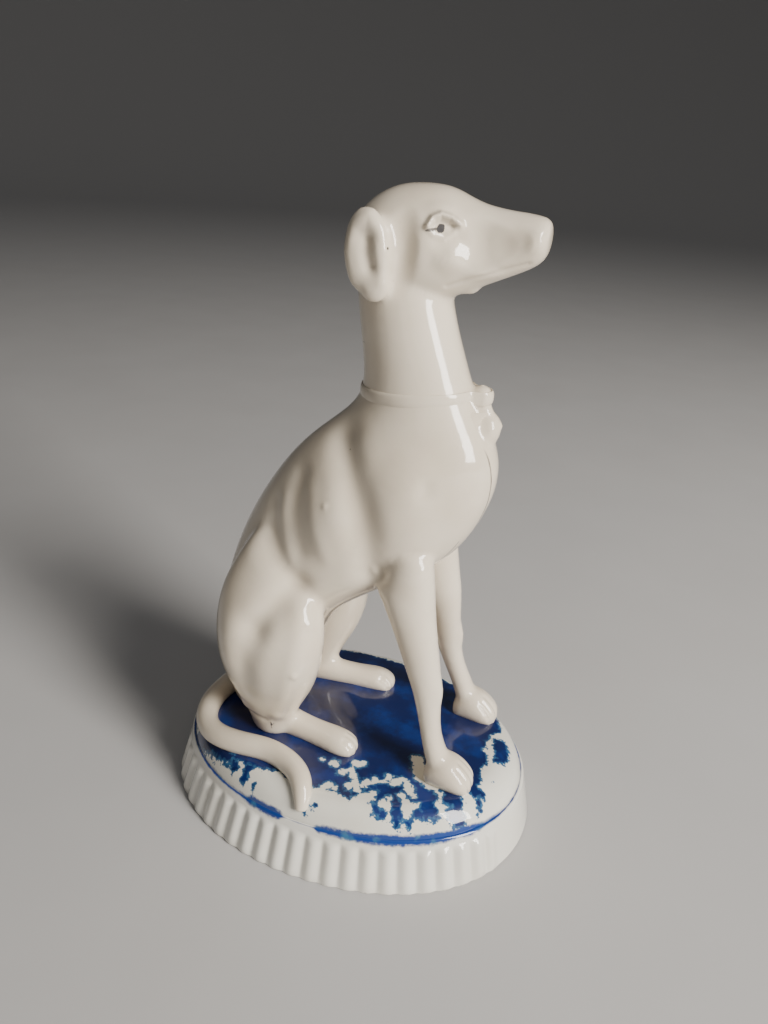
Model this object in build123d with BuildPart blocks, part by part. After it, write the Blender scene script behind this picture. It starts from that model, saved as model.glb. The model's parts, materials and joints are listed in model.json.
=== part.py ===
from build123d import *
import math
import os

# A glazed earthenware figure of a greyhound, sitting on an oval plinth with a reeded wall.
# It is press-moulded and built up by hand. Each solid below is one piece of clay as the potter has
# it on the bench, before the pieces are joined with slip, fired into one and glazed.
# Millimetres. +X is the way the dog faces, +Y its left side, +Z up. The origin is the middle of the
# plinth's foot.

# ---- Plinth ----------------------------------------------------------------------------------
foot_half_length = 42.0      # the oval that stands on the shelf, over its reeds
foot_half_width = 31.9
wall_height = 10.9           # shelf to the groove where the ground begins
wall_lean = 3.8              # how far the wall leans in from foot to top
wall_thickness = 4.0
reed_radius = 1.05
reed_relief = 0.6            # how far a reed stands out of the wall
reed_pitch = 5.4             # degrees round the oval
reeds_per_side = 21          # the two ends stay plain, where the moulds part
reed_top_margin = 1.9        # plain band between the reeds and the groove
reed_start = 1.0             # a reed's blank starts this far below the foot and is cut level
bat_thickness = 3.0          # the flat slab that closes the underside
bat_recess = 0.8             # it sits this far up inside the foot
bat_vent_radius = 2.5        # lets steam out in the kiln

# ---- Ground that the dog sits on --------------------------------------------------------------
groove_width = 0.7           # step between the wall's top edge and the ground
ground_rise = 5.6            # height of the dome in the middle
crown_fall = 0.6             # the dome falls this much before its edge rounds over
edge_width = 6.5             # width of the rounded edge
ground_vent_radius = 2.0     # under the dog, into the plinth's hollow
ground_vent_x = -20.5

# ---- Dog: heights are above the middle of the ground --------------------------------------------
body_wall = 3.2              # thickness of the pressed clay
chest_half_width = 12.5
haunch_half_width = 13.0
neck_half_width = 8.2
collar_level = 77.0
collar_height = 2.4
collar_relief = 0.7
collar_edge_radius = 0.6
nape_x = -2.0                # back and front of the neck at the collar
throat_x = 20.3
knot_radius = 1.7
pendant_radius = 2.7
pendant_drop = 5.2           # centre of the pendant below the middle of the collar
pendant_stand = 2.0          # and this far in front of the throat
pendant_peak_radius = 0.8
crown_height = 110.5         # top of the head
skull_half_width = 9.6
muzzle_half_width = 4.4
ear_x = -0.5
ear_drop = 10.6              # middle of the ear below the top of the head
ear_seat = 6.0               # the ear's disc starts this far out from the middle of the skull
ear_thickness = 5.1
ear_edge_radius = 1.2
ear_half_length = 5.0
ear_half_height = 7.2
ear_hollow_half_length = 1.4
ear_hollow_half_height = 3.6
ear_hollow_depth = 1.3
seam_roll_width = 3.0
seam_roll_thickness = 1.2

# ---- Legs, feet and tail ----------------------------------------------------------------------
forepaw_spacing = 22.6       # between the middles of the two forepaws
shoulder_spacing = 18.0      # between the forelegs where they leave the chest
forepaw_x = 25.0
forepaw_half_length = 5.1
forepaw_half_width = 3.8
forepaw_height = 5.6
hind_foot_spacing = 24.4
hind_foot_heel_x = -21.0
hind_foot_toe_x = 5.4
hind_foot_half_width = 3.0
hind_foot_height = 4.6
tail_radius = 2.3
tail_bend_share = 0.45       # of the shorter run beside each bend

# ---- Worked out from the sizes above ------------------------------------------------------------
top_half_length = foot_half_length - wall_lean
top_half_width = foot_half_width - wall_lean
ground = wall_height + ground_rise
sink = 1.6                   # how far a blank runs into the ground before the ground trims it
beyond = 4 * foot_half_length            # side of a cutter that reaches past the whole figure


def oval(plane, centre_x, centre_y, half_x, half_y):
    """A flat ellipse on a plane, ready to loft."""
    with BuildSketch(plane) as section:
        with Locations((centre_x, centre_y)):
            Ellipse(half_x, half_y)
    return section.sketch


def level_ovals(stations, inset=0.0):
    """Ovals on level planes. A station is height, back x, front x, half width, above the ground."""
    return [
        oval(Plane.XY.offset(ground + height), (back + front) / 2, 0,
             (front - back) / 2 - inset, half_width - inset)
        for height, back, front, half_width in stations
    ]


def upright_ovals(stations, inset=0.0):
    """Ovals across the head. A station is x, top height, bottom height, half width."""
    return [
        oval(Plane.YZ.offset(x), 0, ground + (top + bottom) / 2,
             half_width - inset, (top - bottom) / 2 - inset)
        for x, top, bottom, half_width in stations
    ]


def limb_ovals(stations, side):
    """Ovals up a limb. A station is height, centre x, centre y, half length, half width."""
    return [
        oval(Plane.XY.offset(ground + height), x, side * y, half_x, half_y)
        for height, x, y, half_x, half_y in stations
    ]


def finish(builder, label):
    """Name a finished piece and write it out."""
    builder.part.label = label
    export_step(builder.part, "parts/" + label + ".step")


# ---- Plinth wall: the moulded oval ring, hollow, with its reeds ---------------------------------
plain_half_length = foot_half_length
plain_half_width = foot_half_width - reed_relief
wall_top = Plane.XY.offset(wall_height)

with BuildPart() as plinth_core:
    loft(sections=[
        oval(Plane.XY, 0, 0, plain_half_length - wall_thickness, plain_half_width - wall_thickness),
        oval(wall_top, 0, 0, top_half_length - wall_thickness, top_half_width - wall_thickness),
    ])


def reed_frame(angle):
    """Where a reed starts on the foot, and the direction it runs up the wall."""
    turn = math.radians(angle)
    cos, sin = math.cos(turn), math.sin(turn)
    low = Vector(plain_half_length * cos, plain_half_width * sin, 0)
    high = Vector(top_half_length * cos, top_half_width * sin, wall_height)
    return low, (high - low).normalized()


with BuildPart() as plinth_wall:
    loft(sections=[
        oval(Plane.XY, 0, 0, plain_half_length, plain_half_width),
        oval(wall_top, 0, 0, top_half_length, top_half_width),
    ])
    for side_middle in (-90, 90):
        for count in range(reeds_per_side):
            reed_angle = side_middle + (count - (reeds_per_side - 1) / 2) * reed_pitch
            reed_foot, reed_direction = reed_frame(reed_angle)
            inward = Vector(reed_foot.X, reed_foot.Y, 0).normalized() * (reed_relief - reed_radius)
            reed_root = reed_foot + inward - reed_direction * reed_start
            with BuildSketch(Plane(origin=reed_root, z_dir=reed_direction)):
                Circle(reed_radius)
            extrude(amount=reed_start + wall_height - reed_top_margin)
    with BuildSketch(Plane.XY):
        Rectangle(beyond, beyond)
    extrude(amount=-reed_start - reed_radius, mode=Mode.SUBTRACT)
    add(plinth_core.part, mode=Mode.SUBTRACT)

# ---- Bat: the slab pressed into the underside, with its steam vent ------------------------------
bat_middle = bat_recess + bat_thickness / 2
with BuildPart() as floor_bat:
    add(plinth_core.part)
    with Locations((0, 0, bat_middle)):
        Box(beyond, beyond, bat_thickness, mode=Mode.INTERSECT)
    with Locations((0, 0, bat_middle)):
        Cylinder(bat_vent_radius, 2 * bat_thickness, mode=Mode.SUBTRACT)

# ---- Ground: a shallow dome that closes the plinth's top ----------------------------------------
ground_half_length = top_half_length - groove_width
ground_half_width = top_half_width - groove_width
with BuildPart() as mound_top:
    with BuildSketch(Plane.XZ):
        with BuildLine():
            crest = (0, ground)
            shoulder = (ground_half_length - edge_width, ground - crown_fall)
            edge = (ground_half_length, wall_height)
            flat = TangentArc(crest, shoulder, tangent=(1, 0))
            TangentArc(shoulder, edge, tangent=flat % 1)
            Polyline(edge, (0, wall_height), crest)
        make_face()
    revolve(axis=Axis.Z)
    scale(by=(1, ground_half_width / ground_half_length, 1))
    with Locations((ground_vent_x, 0, wall_height)):
        Cylinder(ground_vent_radius, 4 * ground_rise, mode=Mode.SUBTRACT)

# Nothing that stands on the ground reaches below the groove.
with BuildPart() as below_ground:
    with Locations((0, 0, wall_height / 2)):
        Box(beyond, beyond, wall_height)

# ---- Body blank: trunk, neck, head and haunches, as the two mould halves close round it ----------
trunk = [
    (-sink, -27.0, -14.0, 8.0),
    (3.4, -31.6, -11.5, 10.0),
    (14.4, -32.8, -8.6, 12.0),
    (24.4, -32.6, -5.0, chest_half_width),
    (34.4, -30.6, 3.5, chest_half_width),
    (43.9, -27.2, 16.5, chest_half_width),
    (54.4, -21.4, 23.0, chest_half_width),
    (64.4, -13.6, 25.2, 0.93 * chest_half_width),
    (71.9, -4.6, 22.6, 1.15 * neck_half_width),
    (collar_level, nape_x, throat_x, neck_half_width),
    (84.4, -2.6, 17.4, 0.94 * neck_half_width),
    (95.4, -3.2, 15.0, neck_half_width),
]
head = [
    (-4.6, crown_height - 6.5, crown_height - 15.5, 0.55 * skull_half_width),
    (0.0, crown_height - 1.3, crown_height - 18.5, 0.92 * skull_half_width),
    (5.0, crown_height, crown_height - 18.8, skull_half_width),
    (11.0, crown_height - 0.5, crown_height - 17.8, 0.88 * skull_half_width),
    (16.0, crown_height - 2.3, crown_height - 15.8, 0.62 * skull_half_width),
    (22.0, crown_height - 3.0, crown_height - 13.6, muzzle_half_width),
    (26.2, crown_height - 3.3, crown_height - 11.4, 0.86 * muzzle_half_width),
    (28.4, crown_height - 5.0, crown_height - 9.6, 0.6 * muzzle_half_width),
]
haunch = [
    (-sink, -18.5, haunch_half_width - 2.0, 5.5, 3.4),
    (4.4, -16.5, haunch_half_width, 8.6, 5.6),
    (15.4, -14.6, haunch_half_width + 1.0, 11.6, 7.0),
    (26.4, -13.4, haunch_half_width + 0.5, 12.4, 7.2),
    (36.4, -14.0, haunch_half_width - 2.0, 11.0, 6.0),
    (44.4, -15.0, haunch_half_width - 4.5, 6.0, 3.0),
]
with BuildPart() as body_blank:
    loft(sections=level_ovals(trunk))
    loft(sections=upright_ovals(head))
    for flank in (-1, 1):
        loft(sections=limb_ovals(haunch, flank))
    add(mound_top.part, mode=Mode.SUBTRACT)
    add(below_ground.part, mode=Mode.SUBTRACT)

# The hollow inside the pressed walls, open to the ground's vent. The muzzle and haunches stay solid.
skull = head[1:4]
with BuildPart() as body_hollow:
    loft(sections=level_ovals(trunk, body_wall))
    loft(sections=upright_ovals(skull, body_wall))
    add(mound_top.part, mode=Mode.SUBTRACT)

with BuildPart() as body_lining:
    loft(sections=level_ovals(trunk, body_wall + seam_roll_thickness))
    loft(sections=upright_ovals(skull, body_wall))

with BuildPart() as body_right:
    add(body_blank.part)
    add(body_hollow.part, mode=Mode.SUBTRACT)
    split(bisect_by=Plane.XZ, keep=Keep.TOP)

with BuildPart() as body_left:
    add(body_blank.part)
    add(body_hollow.part, mode=Mode.SUBTRACT)
    split(bisect_by=Plane.XZ, keep=Keep.BOTTOM)

# ---- Seam rolls: thin coils of clay smeared over the two seams from inside -----------------------
with BuildPart() as seam_rolls:
    add(body_hollow.part)
    add(body_lining.part, mode=Mode.SUBTRACT)
    with Locations((0, 0, ground + crown_height / 2)):
        Box(beyond, seam_roll_width, beyond, mode=Mode.INTERSECT)

with BuildPart() as seam_roll_back:
    add(seam_rolls.solids().sort_by(Axis.X)[0])

with BuildPart() as seam_roll_front:
    add(seam_rolls.solids().sort_by(Axis.X)[-1])

# ---- Ears: folded back, pressed on to the sides of the skull -------------------------------------
ears = {}
for label, flank in (("ear_right", -1), ("ear_left", 1)):
    ear_root = Plane(
        origin=(ear_x, flank * ear_seat, ground + crown_height - ear_drop),
        x_dir=(1, 0, 0),
        z_dir=(0, flank, 0),
    )
    with BuildPart() as ears[label]:
        with BuildSketch(ear_root):
            Ellipse(ear_half_length, ear_half_height)
        extrude(amount=ear_thickness)
        outer_face = ears[label].faces().sort_by(Axis.Y)[-1 if flank > 0 else 0]
        fillet(outer_face.edges(), ear_edge_radius)
        with BuildSketch(ear_root.offset(ear_thickness)):
            Ellipse(ear_hollow_half_length, ear_hollow_half_height)
        extrude(amount=-ear_hollow_depth, mode=Mode.SUBTRACT)
        add(body_blank.part, mode=Mode.SUBTRACT)

# ---- Collar, with its knot and the pendant below it ----------------------------------------------
collar_half_length = (throat_x - nape_x) / 2 + collar_relief
knot_x = throat_x + collar_relief
pendant_x = throat_x + pendant_stand
bead_turn = (0, 90, 0)       # a bead's poles face front and back
with BuildPart() as collar:
    with BuildSketch(Plane.XY.offset(ground + collar_level - collar_height / 2)):
        with Locations(((throat_x + nape_x) / 2, 0)):
            Ellipse(collar_half_length, neck_half_width + collar_relief)
    extrude(amount=collar_height)
    fillet(collar.edges(), collar_edge_radius)
    add(body_blank.part, mode=Mode.SUBTRACT)

with BuildPart() as collar_knot:
    with Locations((knot_x, 0, ground + collar_level)):
        Sphere(knot_radius, rotation=bead_turn)
    add(body_blank.part, mode=Mode.SUBTRACT)
    add(collar.part, mode=Mode.SUBTRACT)

with BuildPart() as collar_pendant:
    with Locations((pendant_x, 0, ground + collar_level - pendant_drop)):
        Sphere(pendant_radius, rotation=bead_turn)
    with Locations((pendant_x + pendant_radius, 0, ground + collar_level - pendant_drop)):
        Sphere(pendant_peak_radius, rotation=bead_turn)
    add(body_blank.part, mode=Mode.SUBTRACT)
    add(collar.part, mode=Mode.SUBTRACT)
    add(collar_knot.part, mode=Mode.SUBTRACT)

# ---- Forelegs: solid, from the chest down to the paws ---------------------------------------------
shoulder_y = shoulder_spacing / 2
paw_y = forepaw_spacing / 2
foreleg = [
    (44.4, 11.0, shoulder_y - 1.5, 6.0, 4.0),
    (38.4, 13.0, shoulder_y, 5.2, 3.8),
    (30.4, 15.2, shoulder_y + 0.4, 4.2, 3.4),
    (17.4, 18.6, paw_y - 0.5, 3.1, 2.7),
    (9.4, 20.6, paw_y, 2.5, 2.4),
    (5.6, 21.6, paw_y, 2.7, 2.6),
    (1.0, 22.2, paw_y, 2.6, 2.5),
]
forepaw = [
    (-sink, forepaw_x, paw_y, forepaw_half_length - 0.6, forepaw_half_width - 0.5),
    (0.4 * forepaw_height, forepaw_x, paw_y, forepaw_half_length, forepaw_half_width),
    (0.75 * forepaw_height, forepaw_x - 0.9, paw_y, 0.7 * forepaw_half_length, 0.8 * forepaw_half_width),
    (forepaw_height, forepaw_x - 2.2, paw_y, 0.35 * forepaw_half_length, 0.45 * forepaw_half_width),
]
forelegs = {}
for label, flank in (("foreleg_right", -1), ("foreleg_left", 1)):
    with BuildPart() as forelegs[label]:
        loft(sections=limb_ovals(foreleg, flank))
        loft(sections=limb_ovals(forepaw, flank))
        add(body_blank.part, mode=Mode.SUBTRACT)
        add(mound_top.part, mode=Mode.SUBTRACT)

# ---- Hind feet: laid flat on the ground from heel to toe -------------------------------------------
hind_feet = {}
foot_run = hind_foot_toe_x - hind_foot_heel_x
foot_y = hind_foot_spacing / 2
hind_foot = [
    (0.0, 0.75, 0.70),
    (0.15, 1.0, 0.95),
    (0.55, 0.95, 0.80),
    (0.85, 1.10, 0.85),
    (1.0, 0.70, 0.45),
]
for label, flank in (("hind_foot_right", -1), ("hind_foot_left", 1)):
    with BuildPart() as hind_feet[label]:
        loft(sections=[
            oval(Plane.YZ.offset(hind_foot_heel_x + share * foot_run), flank * foot_y,
                 ground + (tall * hind_foot_height - sink) / 2,
                 wide * hind_foot_half_width, (tall * hind_foot_height + sink) / 2)
            for share, wide, tall in hind_foot
        ])
        add(body_blank.part, mode=Mode.SUBTRACT)
        add(mound_top.part, mode=Mode.SUBTRACT)

# ---- Tail: a roll of clay laid round the back of the ground and along the right side ----------------
tail_route = [
    (-26.0, 4.0, ground + 2.6),
    (-29.6, -1.0, ground + 1.2),
    (-30.4, -10.5, ground - 0.6),
    (-24.5, -17.0, ground - 0.6),
    (-16.0, -17.8, ground + 0.2),
    (-8.0, -18.4, ground + 0.2),
    (-2.8, -21.2, ground - 0.4),
    (0.4, -26.4, ground - 2.4),
]
runs = [math.dist(here, there) for here, there in zip(tail_route, tail_route[1:])]
bends = []
for index in range(1, len(tail_route) - 1):
    before = Vector(*tail_route[index]) - Vector(*tail_route[index - 1])
    after = Vector(*tail_route[index + 1]) - Vector(*tail_route[index])
    half_turn = math.radians(before.get_angle(after)) / 2
    bends.append(tail_bend_share * min(runs[index - 1], runs[index]) / math.tan(half_turn))

with BuildPart() as tail:
    with BuildLine() as tail_line:
        FilletPolyline(*tail_route, radius=bends)
    with BuildSketch(Plane(origin=tail_line.line @ 0, z_dir=tail_line.line % 0)):
        Circle(tail_radius)
    sweep(path=tail_line.line)
    with Locations(tail_route[-1]):
        Sphere(tail_radius)
    add(body_blank.part, mode=Mode.SUBTRACT)
    add(mound_top.part, mode=Mode.SUBTRACT)
    add(below_ground.part, mode=Mode.SUBTRACT)
    for foot in hind_feet.values():
        add(foot.part, mode=Mode.SUBTRACT)

# ---- Write each piece ------------------------------------------------------------------------------
os.makedirs("parts", exist_ok=True)
pieces = {
    "plinth_wall": plinth_wall,
    "floor_bat": floor_bat,
    "mound_top": mound_top,
    "body_right": body_right,
    "body_left": body_left,
    "seam_roll_back": seam_roll_back,
    "seam_roll_front": seam_roll_front,
    "collar": collar,
    "collar_knot": collar_knot,
    "collar_pendant": collar_pendant,
    "tail": tail,
    **ears,
    **forelegs,
    **hind_feet,
}
for name, piece in pieces.items():
    finish(piece, name)
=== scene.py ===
import json
import logging
import math
from dataclasses import dataclass, field
from enum import Enum
from typing import Callable, Iterable, Sequence

import bpy
import numpy as np
from mathutils import Matrix, Vector
from mathutils.bvhtree import BVHTree

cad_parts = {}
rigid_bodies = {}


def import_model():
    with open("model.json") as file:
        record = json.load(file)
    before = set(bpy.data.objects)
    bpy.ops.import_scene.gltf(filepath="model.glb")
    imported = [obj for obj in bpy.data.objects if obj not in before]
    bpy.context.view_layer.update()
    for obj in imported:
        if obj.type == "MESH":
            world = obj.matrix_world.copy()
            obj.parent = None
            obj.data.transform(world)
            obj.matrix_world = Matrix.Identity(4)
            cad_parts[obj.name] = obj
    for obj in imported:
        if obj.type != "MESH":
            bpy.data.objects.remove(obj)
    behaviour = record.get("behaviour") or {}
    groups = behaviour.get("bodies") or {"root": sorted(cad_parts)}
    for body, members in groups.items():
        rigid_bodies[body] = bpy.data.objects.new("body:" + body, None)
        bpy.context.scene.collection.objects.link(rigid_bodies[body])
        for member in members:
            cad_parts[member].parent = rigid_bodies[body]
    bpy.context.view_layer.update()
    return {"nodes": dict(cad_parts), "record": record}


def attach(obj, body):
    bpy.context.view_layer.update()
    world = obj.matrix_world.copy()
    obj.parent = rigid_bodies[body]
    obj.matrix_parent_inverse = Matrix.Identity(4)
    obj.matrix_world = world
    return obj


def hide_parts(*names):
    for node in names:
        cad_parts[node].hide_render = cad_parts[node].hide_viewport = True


LOG = logging.getLogger("greyhound")
MM = 0.001
Point = tuple[float, float, float]
Colour = tuple[float, float, float]


# ---- Bench: the few operations that every piece goes through ------------------------------------


def put_down() -> None:
    """Leave edit mode and deselect everything."""
    if bpy.context.object and bpy.context.object.mode != "OBJECT":
        bpy.ops.object.mode_set(mode="OBJECT")
    bpy.ops.object.select_all(action="DESELECT")


def pick_up(piece: bpy.types.Object) -> None:
    """Select one piece alone and make it the active one.

    Args:
        piece: The piece to select.
    """
    put_down()
    piece.select_set(True)
    bpy.context.view_layer.objects.active = piece


def settle(piece: bpy.types.Object, name: str) -> bpy.types.Object:
    """Name a piece and move its place and turn into its mesh.

    Args:
        piece: The piece, selected or not.
        name: Its new name.

    Returns:
        The same piece, at the origin.
    """
    pick_up(piece)
    bpy.ops.object.transform_apply(location=True, rotation=True, scale=True)
    piece.name = piece.data.name = name
    return piece


def apply(piece: bpy.types.Object, kind: str, **settings: object) -> None:
    """Add a modifier to a piece and apply it.

    Args:
        piece: The piece to change.
        kind: Blender's name for the kind of modifier.
        settings: The modifier's settings.
    """
    pick_up(piece)
    modifier = piece.modifiers.new(kind.lower(), kind)
    for key, value in settings.items():
        setattr(modifier, key, value)
    bpy.ops.object.modifier_apply(modifier=modifier.name)


def joined(pieces: Sequence[bpy.types.Object], name: str) -> bpy.types.Object:
    """Join pieces into the first of them.

    Args:
        pieces: The pieces, which become one.
        name: The joined piece's name.

    Returns:
        The joined piece.
    """
    pick_up(pieces[0])
    for piece in pieces:
        piece.select_set(True)
    bpy.ops.object.join()
    return settle(bpy.context.object, name)


def points_of(piece: bpy.types.Object) -> np.ndarray:
    """The piece's vertices in millimetres, one row each.

    Args:
        piece: The piece to read.

    Returns:
        An array of places.
    """
    flat = np.empty(len(piece.data.vertices) * 3, dtype=np.float64)
    piece.data.vertices.foreach_get("co", flat)
    return flat.reshape(-1, 3) / MM


def move_points(piece: bpy.types.Object, points: np.ndarray) -> None:
    """Put a piece's vertices at these places, in millimetres."""
    piece.data.vertices.foreach_set("co", (points * MM).ravel())
    piece.data.update()


def normals_of(piece: bpy.types.Object) -> np.ndarray:
    """The piece's outward direction at each vertex.

    Args:
        piece: The piece to read.

    Returns:
        An array of directions of length 1.
    """
    flat = np.empty(len(piece.data.vertices) * 3, dtype=np.float32)
    piece.data.vertex_normals.foreach_get("vector", flat)
    return flat.reshape(-1, 3).astype(np.float64)


def edges_of(piece: bpy.types.Object) -> np.ndarray:
    """The piece's edges as pairs of vertex numbers.

    Args:
        piece: The piece to read.

    Returns:
        An array with a row for each edge.
    """
    flat = np.empty(len(piece.data.edges) * 2, dtype=np.int32)
    piece.data.edges.foreach_get("vertices", flat)
    return flat.reshape(-1, 2)


def neighbour_mean(edges: np.ndarray, values: np.ndarray) -> np.ndarray:
    """The mean of each vertex's neighbours.

    Args:
        edges: Pairs of vertex numbers.
        values: One row, or one number, for each vertex.

    Returns:
        The means, in the shape of values.
    """
    count = len(values)
    one, two = edges[:, 0], edges[:, 1]
    shares = np.bincount(one, minlength=count) + np.bincount(two, minlength=count)
    shares = np.maximum(shares, 1)
    columns = values.reshape(count, -1).T
    means = [
        (np.bincount(one, column[two], count) + np.bincount(two, column[one], count)) / shares
        for column in columns
    ]
    return np.array(means).T.reshape(values.shape)


def hollowness(piece: bpy.types.Object, edges: np.ndarray) -> np.ndarray:
    """How far each vertex lies below its neighbours: above 0 in a crease, below 0 on a ridge."""
    points = points_of(piece)
    return np.einsum("ij,ij->i", neighbour_mean(edges, points) - points, normals_of(piece))


def store_values(piece: bpy.types.Object, name: str, values: np.ndarray) -> None:
    """Store a number at each vertex, for a finish to read."""
    store = piece.data.attributes.new(name, "FLOAT", "POINT")
    store.data.foreach_set("value", values.astype(np.float32))


def select_faces(piece: bpy.types.Object, wanted: Callable[[np.ndarray], np.ndarray]) -> None:
    """Select some of a piece's faces, and open it in edit mode.

    Args:
        piece: The piece.
        wanted: Takes the faces' middles in millimetres, and says which are wanted.
    """
    pick_up(piece)
    middles = np.empty(len(piece.data.polygons) * 3)
    piece.data.polygons.foreach_get("center", middles)
    chosen = wanted(middles.reshape(-1, 3) / MM)
    bpy.ops.object.mode_set(mode="EDIT")
    bpy.ops.mesh.select_mode(type="FACE")
    bpy.ops.mesh.select_all(action="DESELECT")
    bpy.ops.object.mode_set(mode="OBJECT")
    piece.data.polygons.foreach_set("select", chosen)
    bpy.ops.object.mode_set(mode="EDIT")


def bridge_open_rims() -> None:
    """Join the two open rims of the piece in edit mode, which closes it."""
    bpy.ops.mesh.select_all(action="DESELECT")
    bpy.ops.mesh.select_mode(type="EDGE")
    bpy.ops.mesh.select_non_manifold()
    bpy.ops.mesh.bridge_edge_loops()


def smooth_shading(piece: bpy.types.Object, angle: float = 50.0) -> None:
    """Shade a piece smoothly, apart from edges sharper than an angle in degrees."""
    pick_up(piece)
    bpy.ops.object.shade_smooth_by_angle(angle=math.radians(angle))


# ---- Clay forms -----------------------------------------------------------------------------------


class Growth(Enum):
    """The way a form grows, ring by ring."""

    LEVEL = "rings lie level and stack upwards"
    UPRIGHT = "rings stand across the dog and follow each other forwards"


@dataclass(frozen=True)
class Ring:
    """One oval of a grown form, in millimetres.

    A level ring has its height, and its back and front. An upright ring has its distance forwards,
    and its bottom and top.
    """

    at: float
    low: float
    high: float
    half_width: float
    side: float = 0.0

    def centre(self, growth: Growth) -> Vector:
        """The ring's middle, in metres.

        Args:
            growth: Which way the ring faces.

        Returns:
            The middle's place.
        """
        middle = (self.low + self.high) / 2
        if growth is Growth.LEVEL:
            return Vector((middle, self.side, self.at)) * MM
        return Vector((self.at, self.side, middle)) * MM

    def reach(self, growth: Growth) -> Vector:
        """The ring's half sizes along X, Y and Z, with 1 across its own plane.

        Args:
            growth: Which way the ring faces.

        Returns:
            The half sizes, in millimetres.
        """
        half = (self.high - self.low) / 2
        if growth is Growth.LEVEL:
            return Vector((half, self.half_width, 1.0))
        return Vector((1.0, self.half_width, half))


def grown(name: str, rings: Sequence[Ring], growth: Growth, smoothing: int = 2) -> bpy.types.Object:
    """Grow a closed form by extruding an oval from ring to ring.

    Args:
        name: The form's name.
        rings: The ovals in order.
        growth: Which way they face.
        smoothing: Subdivision levels applied at the end.

    Returns:
        The closed form.
    """
    put_down()
    turn = (0.0, 0.0, 0.0) if growth is Growth.LEVEL else (0.0, math.pi / 2, 0.0)
    first = rings[0]
    bpy.ops.mesh.primitive_circle_add(
        vertices=28, radius=MM, fill_type="NGON", location=first.centre(growth), rotation=turn)
    form = settle(bpy.context.object, name)
    bpy.ops.object.mode_set(mode="EDIT")
    bpy.ops.mesh.select_all(action="SELECT")
    bpy.ops.transform.resize(value=first.reach(growth), center_override=first.centre(growth))
    for before, after in zip(rings, rings[1:]):
        step = after.centre(growth) - before.centre(growth)
        bpy.ops.mesh.extrude_region_move(TRANSFORM_OT_translate={"value": step})
        was, now = before.reach(growth), after.reach(growth)
        ratio = [there / here for here, there in zip(was, now)]
        bpy.ops.transform.resize(value=ratio, center_override=after.centre(growth))
    bpy.ops.mesh.select_all(action="SELECT")
    bpy.ops.mesh.normals_make_consistent(inside=False)
    bpy.ops.object.mode_set(mode="OBJECT")
    if smoothing:
        apply(form, "SUBSURF", levels=smoothing, render_levels=smoothing)
    return form


def pebble(name: str, centre: Point, half: Point, lean: Point = (0.0, 0.0, 0.0)) -> bpy.types.Object:
    """Shape an ellipsoid of clay.

    Args:
        name: The form's name.
        centre: Its middle, in millimetres.
        half: Its half sizes, in millimetres.
        lean: Its turn about X, Y and Z, in degrees.

    Returns:
        The closed form.
    """
    put_down()
    bpy.ops.mesh.primitive_uv_sphere_add(
        segments=40, ring_count=24, radius=1.0, location=Vector(centre) * MM,
        rotation=[math.radians(angle) for angle in lean], scale=Vector(half) * MM)
    return settle(bpy.context.object, name)


@dataclass(frozen=True)
class Stroke:
    """A push of the thumb: moves the clay near a place, fading out to its reach. Millimetres."""

    place: Point
    reach: Point
    push: Point

    def mirrored(self) -> "Stroke":
        """The same push on the dog's other side."""
        (x, y, z), (px, py, pz) = self.place, self.push
        return Stroke((x, -y, z), self.reach, (px, -py, pz))

    def press(self, points: np.ndarray) -> None:
        """Move the points that the push reaches.

        Args:
            points: The clay's points, which are changed.
        """
        near = (((points - self.place) / self.reach) ** 2).sum(axis=1)
        weight = np.clip(1 - near, 0, None) ** 2
        points += weight[:, None] * np.array(self.push)


@dataclass(frozen=True)
class Line:
    """A modelling tool's line: raises the clay along a path, or cuts a groove. Millimetres."""

    path: tuple[Point, ...]
    width: float
    height: float

    def mirrored(self) -> "Line":
        """The same line on the dog's other side."""
        return Line(tuple((x, -y, z) for x, y, z in self.path), self.width, self.height)

    def draw(self, points: np.ndarray, outward: np.ndarray, skin: BVHTree) -> None:
        """Move the points near the path along their outward directions.

        Args:
            points: The clay's points, which are changed.
            outward: Each point's outward direction.
            skin: The surface that the path is laid on.
        """
        corners = np.array(self.path)
        path = []
        for start, end in zip(corners, corners[1:]):
            for share in (0.0, 0.25, 0.5, 0.75):
                path.append(start + share * (end - start))
        path.append(corners[-1])
        path = np.array([skin.find_nearest(Vector(spot) * MM)[0] for spot in path]) / MM
        reach = 3 * self.width
        near = np.all((points > path.min(axis=0) - reach) & (points < path.max(axis=0) + reach), axis=1)
        spot = points[near]
        if not len(spot):
            return
        closest = np.full(len(spot), np.inf)
        for start, end in zip(path, path[1:]):
            run = end - start
            share = np.clip((spot - start) @ run / max(run @ run, 1e-9), 0, 1)
            away = np.linalg.norm(spot - (start + share[:, None] * run), axis=1)
            closest = np.minimum(closest, away)
        weight = np.exp(-(closest / self.width) ** 2)
        points[near] += outward[near] * (self.height * weight)[:, None]


def both_sides(marks: Iterable[object]) -> list:
    """Each stroke or line, and its twin on the other side."""
    return [made for mark in marks for made in (mark, mark.mirrored())]


# ---- Node sheets ----------------------------------------------------------------------------------


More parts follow.
